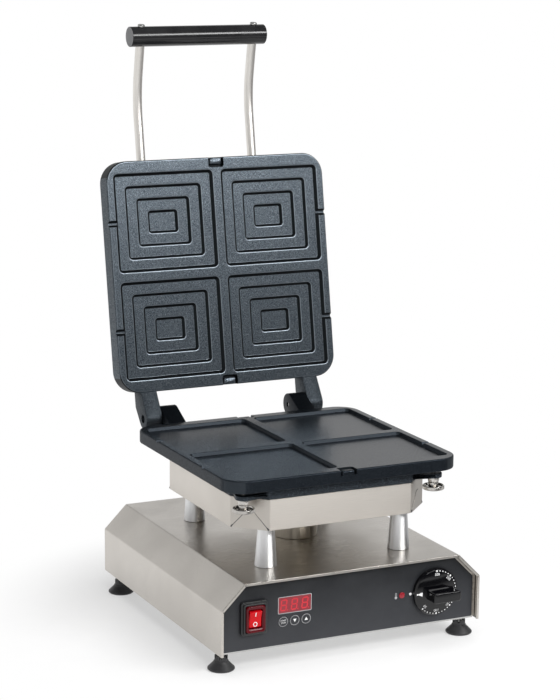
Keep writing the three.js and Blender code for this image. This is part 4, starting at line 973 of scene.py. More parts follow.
def make_thermometer():
    """A tube with a round top over a bulb, and the opening in the tube."""
    outer = arc(1.05, [math.pi * k / 10 for k in range(11)], y=2.6)
    outer += arc(1.75, [math.radians(127 + (413 - 127) * k / 20) for k in range(21)], y=-2.2)
    inner = arc(0.5, [math.pi * k / 8 for k in range(9)], y=2.6) + [(-0.5, -0.6), (0.5, -0.6)]
    return flat_print(outer, inner)


lamp = piece_of("pilot_lamp", make_lamp(), lamp_red, "base", ["indicator_lamp"], sharp=50)
index_dot = on_panel(flat_print(circle(79.2, dial_at.z, 1.7, 32)), lift=PRINT_LIFT)
piece_of("index_dot", index_dot, print_white, "base")
thermometer = on_panel(make_thermometer(), Vector((59.7, 0, dial_at.z)), PRINT_LIFT)
piece_of("thermometer_sign", thermometer, print_grey, "base")
print("lamp faces:", len(lamp.data.polygons))

# %% [markdown]
# The dial is a polished black knob: a round skirt, and across its face a grip for finger and thumb. The scale is
# printed on the skirt. Its figures stand with their feet to the middle, a large dot marks each and four small
# dots lie between two, so one small dot is drawn and Geometry Nodes sets the rest along an arc.

# %% A row of copies on a circle, by Geometry Nodes
def make_arc_tree():
    """Copies of one piece about Z, from a first angle, a step apart, each turned with its place."""
    tree, given, out = group_of("copies_round_an_axis", [
        ("Piece", "Object", None), ("Count", "Int", 12), ("First", "Float", 0.0), ("Step", "Float", 0.5),
        ("Rise", "Float", 0.0), ("Material", "Material", None),
    ], [("Geometry", "Geometry")], "Geometry")
    line = node(tree, "GeometryNodeMeshLine", {"Count": given["Count"]}).outputs["Mesh"]
    index = node(tree, "GeometryNodeInputIndex").outputs["Index"]
    up = node(tree, "ShaderNodeCombineXYZ", {"Z": times(tree, index, given["Rise"])}).outputs["Vector"]
    angle = sum_of(tree, times(tree, index, given["Step"]), given["First"])
    turn = node(tree, "ShaderNodeCombineXYZ", {"Z": angle}).outputs["Vector"]
    places = node(tree, "GeometryNodeSetPosition", {"Geometry": line, "Position": up}).outputs["Geometry"]
    piece = node(tree, "GeometryNodeObjectInfo", {"Object": given["Piece"]}).outputs["Geometry"]
    wanted = {"Points": places, "Instance": piece, "Rotation": turn}
    rows = node(tree, "GeometryNodeInstanceOnPoints", wanted).outputs["Instances"]
    real = node(tree, "GeometryNodeRealizeInstances", {"Geometry": rows}).outputs["Geometry"]
    wanted = {"Geometry": real, "Material": given["Material"]}
    feed(tree, out, {"Geometry": node(tree, "GeometryNodeSetMaterial", wanted).outputs["Geometry"]})
    return tree


arc_tree = make_arc_tree()


def copies(name, shape, material, count, step_degrees=0.0, first_degrees=0.0, rise=0.0):
    """The copies of one shape about Z, as one plain mesh object in metres."""
    one = object_of("one", mesh_of("one", shape))
    many = object_of(name, bpy.data.meshes.new(name))
    modifier = many.modifiers.new("copies", "NODES")
    modifier.node_group = arc_tree
    wanted = {
        "Piece": one, "Count": count, "First": math.radians(first_degrees), "Step": math.radians(step_degrees),
        "Rise": rise * MM, "Material": material}
    for socket in arc_tree.interface.items_tree:
        if socket.in_out == "INPUT":
            modifier[socket.identifier] = wanted[socket.name]
    freeze(many)
    bpy.data.objects.remove(one)
    return many


def place_piece(piece, matrix):
    """Moves a finished piece by a matrix in millimetres, into its mesh."""
    scale = Matrix.Scale(MM, 4)
    piece.data.transform(scale @ matrix @ scale.inverted())
    if matrix.determinant() < 0:
        piece.data.flip_normals()
    return piece


print("tree inputs:", len(arc_tree.interface.items_tree) - 1)

# %% The knob
DIAL_RADIUS, DIAL_FACE = 29.0, 6.0  # the skirt's radius, and its edge's height over the foil
DOME = 140.0  # radius of the skirt's face
GRIP = (36, 12.2)  # its length and width


def dome(radius):
    """How far the skirt's face stands proud of its edge, at a distance from the middle."""
    return (DIAL_RADIUS ** 2 - radius ** 2) / (2 * DOME)


def make_knob():
    """A domed skirt, a hub under it, and a grip of rings (more length, more width, height)."""
    face = [(r, DIAL_FACE + dome(r), 0) for r in (0, 4, 8, 12, 16, 20, 24)]
    skirt = turned(rounded([
        *face, (27.4, DIAL_FACE + dome(27.4), 0.9), (DIAL_RADIUS, 4.6, 1.2), (DIAL_RADIUS, 0.8, 0.2),
        (26.8, 0.8, 0.2), (26.8, 3.6, 0.5), (0, 3.6, 0)], 5), 128)
    profile = [
        (1.6, 1.6, 5.2), (1.2, 1.2, 6.1), (0.5, 0.5, 6.6), (0.0, 0.1, 7.6), (0.0, -0.3, 13.0), (0.0, -0.4, 19.0),
        (0.0, -0.2, 24.5), (0.0, 0.0, 26.5), (-0.3, -0.2, 27.3), (-0.9, -0.8, 27.8), (-1.7, -1.6, 27.95)]
    rings = []
    for grow, slim, z in profile:
        length, width = GRIP[0] + 2 * grow, GRIP[1] + 2 * slim
        rings.append(rect_ring(length, width, min(1.9, width / 2 - 0.1), z, 5))
    hub = turned([(0, 3.7), (5.2, 3.7), (5.2, 1.2), (0, 1.2)], 32)
    return on_panel(joined(skirt, shifted(loft(rings), 3.6, -1.0), hub), dial_at)


knob = piece_of("thermostat_dial", make_knob(), gloss, "dial", ["control_knob"], sharp=40)
print("knob faces:", len(knob.data.polygons))

# %% The dial's printed scale
SCALE_STEP = -45  # degrees from one figure to the next


def make_scale():
    """Figures with a large dot each, and the grip's pointer line with its arrow."""
    marks = []
    for i, figure in enumerate(("300", "250", "200", "150", "100", "50")):
        mark = joined(shifted(lettering(figure, 4.6), y=22.0), flat_print(circle(0, 26.1, 1.1, 20)))
        marks.append(turned_by(mark, SCALE_STEP * i, "Z"))
    marks.append(flat_print([
        (-26.6, -1.0), (-25.5, -1.0), (-25.0, -0.5), (-19.6, -2.5), (-19.6, 2.5), (-25.0, 0.5), (-25.5, 1.0),
        (-26.6, 1.0)]))
    return joined(*marks)


def print_on_dial(piece):
    """Bends flat print onto the skirt's face, sets it in its place and finishes it."""
    for vert in piece.data.vertices:
        vert.co.z += dome(vert.co.xy.length / MM) * MM
    place_piece(piece, PANEL @ Matrix.Translation((dial_at.x, dial_at.z, DIAL_FACE + 0.02)))
    return keep(piece, print_white, "dial")


scale_print = print_on_dial(object_of("dial_scale", mesh_of("dial_scale", make_scale())))
small_dot = flat_print(circle(0, 26.2, 0.7, 14))
for between in range(5):
    first = SCALE_STEP * between + SCALE_STEP / 5
    print_on_dial(copies(f"dial_dots_{between + 1}", small_dot, print_white, 4, SCALE_STEP / 5, first))
print("scale faces:", len(scale_print.data.polygons))

# %% [markdown]
# ## What the machine stands on
# The feet are black bell-shaped mouldings on threaded studs. Above the bell is a collar cut by six slots, so
# one tooth of the collar is drawn and copied round. The thread is a stack of small ridges, copied upwards.

# %% Feet and studs
THREAD_LOW, THREAD_PITCH, THREAD_RIDGES = 7.0, 1.25, 25


def make_tooth():
    inner, outer, low, high = 4.7, 7.7, 13.9, 16.95
    half = math.radians(30) - 1.2 / outer
    angles = [half * (2 * k / 6 - 1) for k in range(7)]
    return prism(arc(outer, angles) + arc(inner, reversed(angles)), low, high)


bell = rounded([
    (4.7, 0.8, 0), (5.4, 0, 0.3), (14.8, 0, 0.5), (16.1, 1.3, 0.6), (15.9, 2.6, 0.8), (8.9, 9.7, 0.8),
    (8.6, 10.9, 0.2), (7.7, 10.9, 0.15), (7.7, 14.0, 0.1), (4.7, 14.0, 0), (4.7, 0.8, 0)], 5)
for corner in CORNERS:
    body = f"foot_{corner}"
    spot = middle_of(body)
    bell_shape = shifted(turned(bell, 72), spot.x, spot.y)
    foot = piece_of(f"foot_bell_{corner}", bell_shape, rubber, body, [body])
    teeth = copies(f"foot_collar_{corner}", make_tooth(), rubber, 6, step_degrees=60, first_degrees=30)
    keep(place_piece(teeth, Matrix.Translation((spot.x, spot.y, 0))), rubber, body)
    top = high_of(f"foot_stud_{corner}").z
    core = shifted(turned([(0, 5.4), (3.5, 5.4), (3.5, top - 0.6), (3.0, top), (0, top)], 32), spot.x, spot.y)
    piece_of(f"stud_core_{corner}", core, zinc, body, [f"foot_stud_{corner}"])
    ridge = turned([(3.45, 0), (4.0, 0.5), (4.0, 0.7), (3.45, 1.2), (3.45, 0)], 32)
    ridges = copies(f"stud_thread_{corner}", ridge, zinc, THREAD_RIDGES, rise=THREAD_PITCH)
    keep(place_piece(ridges, Matrix.Translation((spot.x, spot.y, THREAD_LOW))), zinc, body)
print("foot faces:", len(foot.data.polygons))

# %% [markdown]
# Four legs of turned aluminium and a short duct carry the lower heater unit. The duct is a rolled band with a
# lap where its ends meet.

# %% Legs and duct
def make_leg(node_name):
    """A turned cone between the cover and the housing, with a pin into each."""
    low, high, at = cover_high.z + 0.3, low_of("lower_housing").z - 0.3, middle_of(node_name)
    profile = rounded([(0, low, 0), (13.3, low, 0.5), (10, high, 0.4), (0, high, 0)], 4)
    under, over = low_of(node_name).z, high_of(node_name).z
    pins = [turned([(0, a), (3, a), (3, b), (0, b)], 24) for a, b in ((under, low), (high, over))]
    return shifted(joined(turned(profile, 96), *pins), at.x, at.y)


for corner in CORNERS:
    name = f"leg_{corner}"
    leg = piece_of(f"turned_{name}", make_leg(name), polished, "base", [name])


def make_duct():
    """A rolled band with a lap of its own sheet outside it."""
    at, low, high = middle_of("wiring_duct"), low_of("wiring_duct").z, high_of("wiring_duct").z
    profile = [(26.4, low, 0), (28, low, 0.3), (28, high, 0.3), (26.4, high, 0), (26.4, low, 0)]
    tube = turned(rounded(profile, 3), 96)
    angles = [math.radians(-75 + 1.5 * k) for k in range(11)]
    lap = prism(arc(27.9, angles) + arc(28.35, reversed(angles)), low + 0.2, high - 0.2)
    return shifted(joined(tube, lap), at.x, at.y)


piece_of("rolled_duct", make_duct(), rolled, "base", ["wiring_duct"])
print("leg faces:", len(leg.data.polygons))

# %% [markdown]
# ## The lower heater unit
# Its housing is a tray folded from one sheet. At each cut-off corner the floor turns up as a small tapered flap
# over the side, with a relief hole where the bends meet; the gap round the flap and the relief hole are drawn
# as dark plates of painted shade. The cast block above it has soft edges and an ear at each front corner for a
# thumb screw.

# %% Housing trays
UNIT = (256.0, 250.0, 34.8)  # width, depth and cut-off corner of a heater unit


def octagon(width, depth, corner, bend, inset=0.0):
    """The outline of a box with its corners cut off and its bends rounded."""
    w, d = width / 2 - inset, depth / 2 - inset
    c = corner - inset * (2 - math.sqrt(2))
    return round_corners([
        (w, -d + c), (w, d - c), (w - c, d), (-w + c, d), (-w, d - c), (-w, -d + c), (-w + c, -d), (w - c, -d),
    ], bend)


def make_tray(low, high):
    """The tray with its floor down, from low to high, with a lip turned in at the top."""
    profile = [(1.6, 0), (0.8, 0.08), (0.25, 0.4), (0, 1.1), (0, high - low - 0.35), (0.35, high - low)]
    profile += [(4.7, high - low), (4.7, high - low - 1.2), (1.4, high - low - 1.2), (1.2, 2.2), (2.2, 1.2)]
    return loft([level_ring(octagon(*UNIT, max(0.4, 2.6 - 0.6 * inset), inset), low + z) for inset, z in profile])


def corner_plates(outline, rise, thickness, low):
    """The same small plate on all four cut-off corners, standing on a height and proud by rise."""
    plate = shifted(sheet_with_holes(outline, (), thickness), z=rise)
    reach = ((UNIT[0] + UNIT[1]) / 2 - UNIT[2]) / math.sqrt(2)
    across = (UNIT[0] - UNIT[1]) / 2 / math.sqrt(2)
    plates = []
    for degrees, side in ((45, across), (135, -across), (225, across), (315, -across)):
        turn = Matrix.Rotation(math.radians(degrees), 4, "Z") @ Matrix.Translation((side, -reach, 0))
        plates.append(moved(plate, Matrix.Translation((0, 0, low)) @ turn @ UPRIGHT))
    return joined(*plates)


# Outlines of the plates, from a corner's middle and the unit's floor.
FLAP = [(-23.3, 0.5), (23.3, 0.5), (3.2, 22.6), (-3.2, 22.6)]
SEAM = [(-24.1, 0.7), (24.1, 0.7), (3.5, 23.2), (-3.5, 23.2)]
SIDE = [(-23.6, 1.4), (23.6, 1.4), (23.6, 36.0), (-23.6, 36.0)]


def relief(sign):
    """The outline of a dark plate along the seam, where the bends meet at a corner: painted shade for the relief
    hole.
    """
    way = Vector((-sign * (23.3 - 3.2), 22.1)).normalized()
    side = Vector((-way.y, way.x))
    near = Vector((sign * 23.6, 1.0))
    far = near + way * 3.4
    ends = [near - side * 0.8, near + side * 0.8, far + side * 0.5, far - side * 0.5]
    return round_corners([tuple(v) for v in ends], 0.35, 3)


def corner_set(low):
    """Shapes of the corner sides, their dark seams, which are painted shade, and the flaps, with the finish of
    each.
    """
    # The seam sheet shows round each flap and the relief plates sit at its ends: dark sheets of painted shade where
    # the gaps and holes are.
    seam_shades = [corner_plates(round_corners(SEAM, 0.4, 3), 0.0, 0.16, low)]
    seam_shades += [corner_plates(relief(sign), 0.1, 0.55, low) for sign in (-1, 1)]
    return [
        ("corner_side", corner_plates(round_corners(SIDE, 0.6, 3), -0.5, 0.6, low), stainless_wall, "stainless"),
        ("corner_seam", joined(*seam_shades), coat_block, "cast_block"),
        ("corner_flap", corner_plates(round_corners(FLAP, 0.7, 3), 0.0, 0.5, low), stainless_wall, "stainless"),
    ]


lower_at = middle_of("lower_housing")
lower_low, lower_high = low_of("lower_housing").z, high_of("lower_housing").z
tray = shifted(make_tray(lower_low, lower_high), lower_at.x, lower_at.y)
housing = piece_of("lower_tray", tray, stainless_wall, "base", ["lower_housing"], sharp=40)
for name, shape, material, slot in corner_set(lower_low):
    piece_of(f"lower_{name}", shifted(shape, lower_at.x, lower_at.y), material, "base")
print("tray faces:", len(housing.data.polygons))

# %% Cast heater blocks
EAR, EAR_RADIUS = (125.1, -121.2), 10  # an ear's middle from the unit's, and its radius
EAR_TOP, EAR_BOTTOM = 5.6, 11.1  # how far an ear's faces lie from the block's face that meets the plate


def make_block(low, high, ear_low, ear_high, middle_y):
    """A cast slab with soft edges and two ears in front; middle_y is the unit's middle."""
    width, depth, cut = UNIT
    profile = [(1.6, low), (0.5, low + 0.4), (0, low + 1.4), (0, high - 1.4), (0.5, high - 0.4), (1.6, high)]
    slab = loft([level_ring(octagon(width + 2.4, depth + 2.4, cut + 1.2, 4.5, i), z) for i, z in profile])
    ear_profile = [(0.8, ear_low), (0.2, ear_low + 0.3), (0, ear_low + 0.9)]
    ear_profile += [(0, ear_high - 0.9), (0.2, ear_high - 0.3), (0.8, ear_high)]
    parts = [shifted(slab, y=middle_y)]
    for sign in (-1, 1):
        centre = Vector((sign * EAR[0], middle_y + EAR[1]))
        rings = []
        for inset, z in ear_profile:
            outline = circle(*centre, EAR_RADIUS - inset, 64)
            outline.append((sign * (width / 2 - 1.5 - inset), middle_y - depth / 2 + cut))
            outline.append((sign * (width / 2 - cut), middle_y - depth / 2 + 1.5 + inset))
            rings.append(level_ring(hull(outline), z))
        parts.append(loft(rings))
    return joined(*parts)


block_low, block_high = low_of("lower_heater_block").z, high_of("lower_heater_block").z
block = make_block(block_low, block_high, block_high - EAR_BOTTOM, block_high - EAR_TOP, lower_at.y)
piece_of("lower_cast_block", block, coat_block, "base", ["lower_heater_block"])
print("block:", round(block_low, 1), round(block_high, 1))

# %% [markdown]
# The baking plates are thick castings with a smooth dark coating. Their edges and the rims of their pockets are
# rounded like any casting, and the photo shows these as thin lights beside thin shadows. Each plate is therefore
# drawn with its roundings in, as one closed skin, and the rim vents, notches and pin bores are cut out of it.
# The coating adds a painted highlight to the rims' roundings and painted shade to the pocket walls and notches.

# %% The skin of a plate with pockets
PLATE = (303.7, 293.5)
POCKET = (136.4, 124.7)
POCKET_STEP = (148.2, 137.1)
NOTCH, TAB = (21.2, 12.9), (17.0, 9.2)
QUARTERS = [(sx, sy) for sx in (-1, 1) for sy in (-1, 1)]


def pocket_rings(steps, slope, soft, foot):
    """Rings of one pocket from rim to floor; a step is (inset, corner, depth), soft and foot its roundings."""
    line = []
    level = 0.0
    for inset, corner, depth in steps:
        run = slope * (level - depth)
        turns = [(inset - 2.8, level, 0), (inset, level, soft)]
        turns += [(inset + run, depth, foot), (inset + run + 2.0, depth, 0)]
        line += [(i, corner - (i - inset), z) for i, z in rounded(turns, 8)]
        level = depth
    return [rect_ring(POCKET[0] - 2 * i, POCKET[1] - 2 * i, max(c, 1.0), z, 8) for i, c, z in line]


def add_skin(bm, rings):
    """Adds rings joined one to the next and closed at the last, and gives back the first."""
    rows = [[bm.verts.new(p) for p in ring] for ring in rings]
    for first, second in zip(rows, rows[1:]):
        for (a, b), (c, d) in zip(pairs(first), pairs(second)):
            bm.faces.new((a, b, d, c))
    bm.faces.new(rows[-1])
    return rows[0]


def make_plate_skin(steps, thickness, slope, soft, foot):
    """A plate with its face at 0, pockets down into it, and its back at -thickness."""
    profile = [(2.0, 0), (1.2, -0.1), (0.6, -0.4), (0.15, -1.0), (0, -1.8)]
    profile += [(0, -thickness + 1.4), (0.4, -thickness + 0.4), (1.4, -thickness)]
    bm = bmesh.new()
    borders = [add_skin(bm, [rect_ring(PLATE[0] - 2 * i, PLATE[1] - 2 * i, 28 - i, z, 16) for i, z in profile])]
    pocket = pocket_rings(steps, slope, soft, foot)
    for sx, sy in QUARTERS:
        across, along = sx * POCKET_STEP[0] / 2, sy * POCKET_STEP[1] / 2
        borders.append(add_skin(bm, [[(x + across, y + along, z) for x, y, z in ring] for ring in pocket]))
    edges = [bm.edges.get(two) for border in borders for two in pairs(border)]
    bmesh.ops.triangle_fill(bm, use_beauty=True, use_dissolve=True, edges=edges)
    bm.verts.index_update()
    shape = [v.co.copy() for v in bm.verts], [tuple(v.index for v in face.verts) for face in bm.faces]
    bm.free()
    return shape


def rim_cutters(depth):
    """Vents beside each pocket and a notch with a tab in front and at the rear, for a face at 0."""
    lean = 0.74 * depth
    profile = [(lean, -depth), (lean - 0.5, -depth + 0.2), (0.5, -0.8), (0.1, -0.3), (0, 0), (0, 4)]
    vent = rect_loft(12 + 2 * lean, 2 + 2 * lean, 0.6, profile)
    reach = POCKET_STEP[0] / 2 + POCKET[0] / 2 + 4
    tools = [shifted(vent, sx * reach, sy * POCKET_STEP[1] / 2) for sx, sy in QUARTERS]
    notch = rect_loft(NOTCH[0], NOTCH[1] + 6, 3.2, [(1.0, -6.5), (0.3, -6.2), (0, -5.5), (0, 4)])
    return tools + [shifted(notch, y=sy * (PLATE[1] / 2 - NOTCH[1] + 9.45)) for sy in (-1, 1)]


def rim_tabs():
    profile = [(0, -7.5), (0, -3.4), (0.2, -2.4), (0.7, -1.6), (1.4, -1.2)]
    tab = rect_loft(*TAB, 2.2, profile)
    return joined(*[shifted(tab, y=sy * (PLATE[1] / 2 - 4.8)) for sy in (-1, 1)])


def mark_steep(piece, middle):
    """Writes 'steep' on every face: how far it leans inside the rim, 1 in the notches, which gives them painted
    shade, -0.9 on the outer sides.
    """
    steep = piece.data.attributes.new("steep", "FLOAT", "FACE")
    for face in piece.data.polygons:
        at = face.center / MM - middle
        inside = abs(at.x) < PLATE[0] / 2 - 1 and abs(at.y) < PLATE[1] / 2 - 1
        in_notch = abs(at.x) < NOTCH[0] / 2 + 0.1 and NOTCH[1] + 0.2 > PLATE[1] / 2 - abs(at.y) > 0.1
        lean = 1 - abs(face.normal.dot(UP))
        # A notch's faces get 1, so the coating gives them its painted shade, nearly black.
        steep.data[face.index].value = 1.0 if in_notch and 0.8 < abs(at.z) < 6.8 else lean if inside else -0.9
    return piece


def mark_all(piece, value):
    """Writes one value of 'steep' on every face of a piece."""
    steep = piece.data.attributes.new("steep", "FLOAT", "FACE")
    steep.data.foreach_set("value", [value] * len(steep.data))
    return piece


def make_plate(name, skin, vent_depth, place):
    """A plate cast as its skin, with its rim cut and every face marked."""
    plate = object_of(name, mesh_of("plate", moved(skin, place)))
    for tool in rim_cutters(vent_depth):
        cut_away(plate, moved(tool, place))
    return mark_steep(plate, place.translation)


print("pocket rings:", len(pocket_rings([(0, 6, -4.2)], 0.3, 1.1, 0.9)))

# %% Lower plate with its knuckles
PLATE_AT = 179.9  # how far a plate's middle lies in front of the hinge
KNUCKLE, LUG = (79.5, 102.6), (103.0, 124.6)  # where they begin and end, from the middle outwards


def along_hinge(outline, left, right, soften=0.8):
    """A lug or knuckle: an outline of (y, z) about the pivot, from left to right, with soft edges."""
    rings = []
    for inset, x in ((soften, left), (soften * 0.3, left + soften * 0.3), (0, left + soften), (0, right - soften),
                     (soften * 0.3, right - soften * 0.3), (soften, right)):
        ring = []
        for i, (y, z) in enumerate(outline):
            before, after = Vector(outline[i - 1]), Vector(outline[(i + 1) % len(outline)])
            way = (after - before).normalized()
            ring.append((x, y + way.y * -inset, z + way.x * inset))
        rings.append(ring)
    return loft(rings)


def make_bored(name, outline, span_x, radius):
    """A knuckle or lug about the hinge, with the bore of its pin."""
    left, right = sorted(span_x)
    made = object_of(name, mesh_of(name, along_hinge(outline, left, right)))
    drill = turned([(0, left - 1), (radius, left - 1), (radius, right + 1), (0, right + 1)], 48)
    return cut_away(made, moved(drill, SIDEWAYS))


lower_place = Matrix.Translation((0, pivot.y - PLATE_AT, pivot.z))
lower_skin = make_plate_skin([(0, 6, -4.2)], thickness=15.3, slope=0.3, soft=1.1, foot=0.9)
lower_plate = make_plate("lower_baking_plate", lower_skin, 2.6, lower_place)
keep(lower_plate, coat_lower_shaded, "base", ["lower_plate"], sharp=50, flat_first=True)
knuckle_outline = hull([*circle(0, 0, 14.5, 64), (-35.15, -14.1), (-35.15, -1.2)])
for sign, side in SIDES:
    knuckle = make_bored(f"plate_knuckle_{side}", knuckle_outline, [sign * x for x in KNUCKLE], 3.1)
    place_piece(mark_all(knuckle, -1), Matrix.Translation(pivot))
    keep(knuckle, coat_lower_shaded, "base", sharp=40)
mark_all(piece_of("lower_plate_tabs", moved(rim_tabs(), lower_place), coat_lower_shaded, "base"), 0.0)
print("lower plate faces:", len(lower_plate.data.polygons))

# %% Upper plate with its stepped pockets and lugs
LID_PLATE = Matrix.Translation((0, -PLATE_AT, 0.4)) @ UPSIDE_DOWN


def lid_piece(name, shape, material, stands_for=(), sharp=35):
    """A piece of the lid, drawn closed about the hinge axis and leant back with the lid."""
    return piece_of(name, moved(shape, LID), material, "lid", stands_for, sharp=sharp)


steps = [(16 * i, 6 - 0.6 * i, -(3.9 + 3.3 * i)) for i in range(4)]
upper_skin = make_plate_skin(steps, thickness=24.5, slope=0.85, soft=3.0, foot=0.6)
upper_plate = make_plate("upper_baking_plate", upper_skin, 4.2, LID_PLATE)
place_piece(upper_plate, LID)
keep(upper_plate, coat_upper, "lid", ["upper_plate"], sharp=50, flat_first=True)
lug_outline = hull([*circle(0, 0, 13, 64), (-35.15, 1.6), (-35.15, 23.7), (-14.15, 23.7)])
for sign, side in SIDES:
    lug = make_bored(f"plate_lug_{side}", lug_outline, [sign * x for x in LUG], 5.3)
    keep(mark_all(place_piece(lug, LID), -1), coat_upper, "lid", sharp=40)
mark_all(lid_piece("upper_plate_tabs", moved(rim_tabs(), LID_PLATE), coat_upper), 0.0)
print("upper plate faces:", len(upper_plate.data.polygons))

# %% [markdown]
# Two stepped pins join the lugs to the knuckles. The upper heater unit is the lower one turned over, so the
# same drawings are used again about the hinge axis.

# %% Hinge pins
pin_profile = rounded([
    (0, 80.7, 0), (2.8, 80.7, 0.5), (2.8, 103.0, 0), (5.0, 103.0, 0.4), (5.0, 119.6, 0.6), (2.0, 119.6, 0.2),
    (1.2, 118.8, 0), (0, 118.8, 0)], 3)
for sign, side in SIDES:
    outward = Matrix.Translation(pivot) @ Matrix.Rotation(sign * math.pi / 2, 4, "Y")
    pin = moved(turned(pin_profile, 48), outward)
    piece_of(f"stepped_pin_{side}", pin, zinc, "base", [f"hinge_pin_{side}"])
print("pins at", [round(v, 1) for v in pivot])

# %% Upper heater unit
UNIT_AT = -184.4  # the upper unit's middle from the hinge
upper_low, upper_high = 39.8, 77.3
upper_face, upper_back = 25.2, 39.5  # of the block: where it meets its plate and its housing
flip = Matrix.Translation((0, 0, upper_low + upper_high)) @ UPSIDE_DOWN
upper_place = Matrix.Translation((0, UNIT_AT, 0)) @ flip
for name, shape, material, slot in corner_set(upper_low):
    lid_piece(f"upper_{name}", moved(shape, upper_place), material)
upper_tray = moved(make_tray(upper_low, upper_high), upper_place)
lid_piece("upper_tray", upper_tray, stainless_wall, ["upper_housing"], sharp=40)
upper_block = make_block(upper_face, upper_back, upper_face + EAR_TOP, upper_face + EAR_BOTTOM, UNIT_AT)
lid_piece("upper_cast_block", upper_block, coat_block, ["upper_heater_block"])
print("upper unit:", upper_low, "to", upper_high)

# %% [markdown]
# The lid is lifted by two steel rods and a thick bar of gloss black plastic across their ends. A rod leaves the
# unit level and bends by twenty degrees, so a circle is swept along a straight, an arc and a straight.

# %% Rods and handle bar
ROD_BEND, ROD_AT = math.radians(20), 79
GRIP_AT = Vector((0, -485.9, 33.3))


def make_rod(x):
    """A round rod at x, along a line of (y, z) from the unit's rear block to the bar."""
    radius, bend_radius, bend_steps = 5.8, 170.0, 24
    bend_from = Vector((-381.2, 60.5))
    line = [Vector((-282.2, 60.5)), bend_from]
    for k in range(1, bend_steps + 1):
        a = ROD_BEND * k / bend_steps
        line.append(bend_from + Vector((-bend_radius * math.sin(a), -bend_radius * (1 - math.cos(a)))))
    line.append(Vector((-482.2, 34.6)))
    rings = []
    for i, here in enumerate(line):
        way = (line[min(i + 1, len(line) - 1)] - line[max(i - 1, 0)]).normalized()
        side = Vector((-way.y, way.x))
        rings.append([(x + a, here.x + side.x * b, here.y + side.y * b) for a, b in circle(0, 0, radius, 32)])
    return loft(rings)


def make_grip(length, radius, soft):
    """A bar across the rods' ends; soft is how far its edges are rounded."""
    half = length / 2
    profile = rounded([(0, -half, 0), (radius, -half, soft), (radius, half, soft), (0, half, 0)], 4)
    return moved(turned(profile, 128), Matrix.Translation(GRIP_AT) @ SIDEWAYS)


def make_handle_screw(x):
    """A pan head on the far side of the bar, and its shank."""
    head = turned(rounded([(0, 15.8, 0), (4.6, 15.8, 1.1), (4.6, 13.2, 0.2), (0, 13.2, 0)], 4), 48)
    shank = turned([(0, 13.3), (2.2, 13.3), (2.2, 8), (0, 8)], 24)
    out = Matrix.Rotation(ROD_BEND, 4, "X") @ UPRIGHT
    return moved(joined(head, shank), Matrix.Translation(GRIP_AT + Vector((x, 0, 0))) @ out)


for sign, side in SIDES:
    lid_piece(f"bent_rod_{side}", make_rod(sign * ROD_AT), rod_steel, [f"handle_rod_{side}"])
    screw = make_handle_screw(sign * ROD_AT)
    lid_piece(f"bar_screw_{side}", screw, zinc, [f"handle_screw_{side}"])
bar = make_grip(length=188.3, radius=12.9, soft=0.4)
grip = lid_piece("handle_bar", bar, bar_black, ["handle_grip"])
lid_piece("handle_bar_ends", make_grip(length=188.8, radius=12.5, soft=0.2), sawn_black)
print("grip faces:", len(grip.data.polygons))

# %% [markdown]
# A thumb screw holds each ear: a dished disc with a rolled rim on a polished neck. Its rim has a fine knurl, so
# one rib of the knurl is drawn and copied round.

# %% Thumb screws
screw_profile = rounded([
    (0, 18.4, 0), (2.5, 18.4, 0), (3.0, 17.9, 0), (3.0, -0.3, 0), (7.1, -0.3, 0.5), (7.1, -2.2, 0.4),
    (6.1, -6.67, 1.5), (6.1, -12.0, 0.4), (7.0, -12.0, 0.2), (11.0, -12.0, 0.5), (11.5, -10.1, 0.4),
    (12.4, -10.0, 0.4), (13.0, -10.7, 0.6), (13.0, -14.3, 0.6), (12.5, -15.0, 0.5), (6.4, -15.0, 0.3),
    (6.0, -14.6, 0.3), (3.4, -14.6, 0.3), (3.0, -14.2, 0), (0, -14.2, 0)], 4)
rib = prism([(12.8, -0.22), (13.2, 0.0), (12.8, 0.22)], -14.4, -10.9)


def screw_place(level, sign):
    """Where a screw's flange meets its ear; the upper one is turned over and leans with the lid."""
    if level == "lower":
        return Matrix.Translation((sign * EAR[0], lower_at.y + EAR[1], block_high - EAR_BOTTOM))
    at = Matrix.Translation((sign * EAR[0], UNIT_AT + EAR[1], upper_face + EAR_BOTTOM))
    return LID @ at @ UPSIDE_DOWN


for level in ("lower", "upper"):
    for sign, side in SIDES:
        body = f"thumb_screw_{level}_{side}"
        place = screw_place(level, sign)
        screw = moved(turned(screw_profile, 96), place)
        piece_of(f"dished_screw_{level}_{side}", screw, nickel, body, [body], sharp=40)
        ribs = copies(f"screw_knurl_{level}_{side}", rib, nickel, 90, step_degrees=4)
        keep(place_piece(ribs, place), nickel, body)

# %% [markdown]
# ## Inside and behind
# The parts inside the two units and the base are seldom seen, so they keep the frame's own meshes and get the
# finish of what they are made of.

# %% Finishes of the parts that keep their own mesh
finishes = {
    "chassis": zinc, "timer_board": board, "thermostat": zinc, "thermostat_spindle": brass,
    "terminal_block": ceramic, "mains_gland": frame_black, "rod_block_left": zinc, "rod_block_right": zinc,
}
for level in ("lower", "upper"):
    inside = {"insulation": wool, "clamp_plate": zinc, "element": zinc, "bulb": brass, "link_gland": frame_black}
    finishes |= {f"{level}_{name}": material for name, material in inside.items()}
for name, material in finishes.items():
    nodes[name].data.materials.clear()
    nodes[name].data.materials.append(material)
stood_for = {n for name in made_pieces for n in bpy.data.objects[name].get("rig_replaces", [])}
left_over = sorted(set(nodes) - stood_for - set(finishes))
print("pieces:", len(made_pieces), "nodes left over:", left_over)

# %% [markdown]
# ## Stage, light and camera
# The iron stands on a plain pale floor in soft light from a large window in front and a lamp overhead. What
# the camera sees past the floor is plain white, but polished metal mirrors the studio that is worked out here.

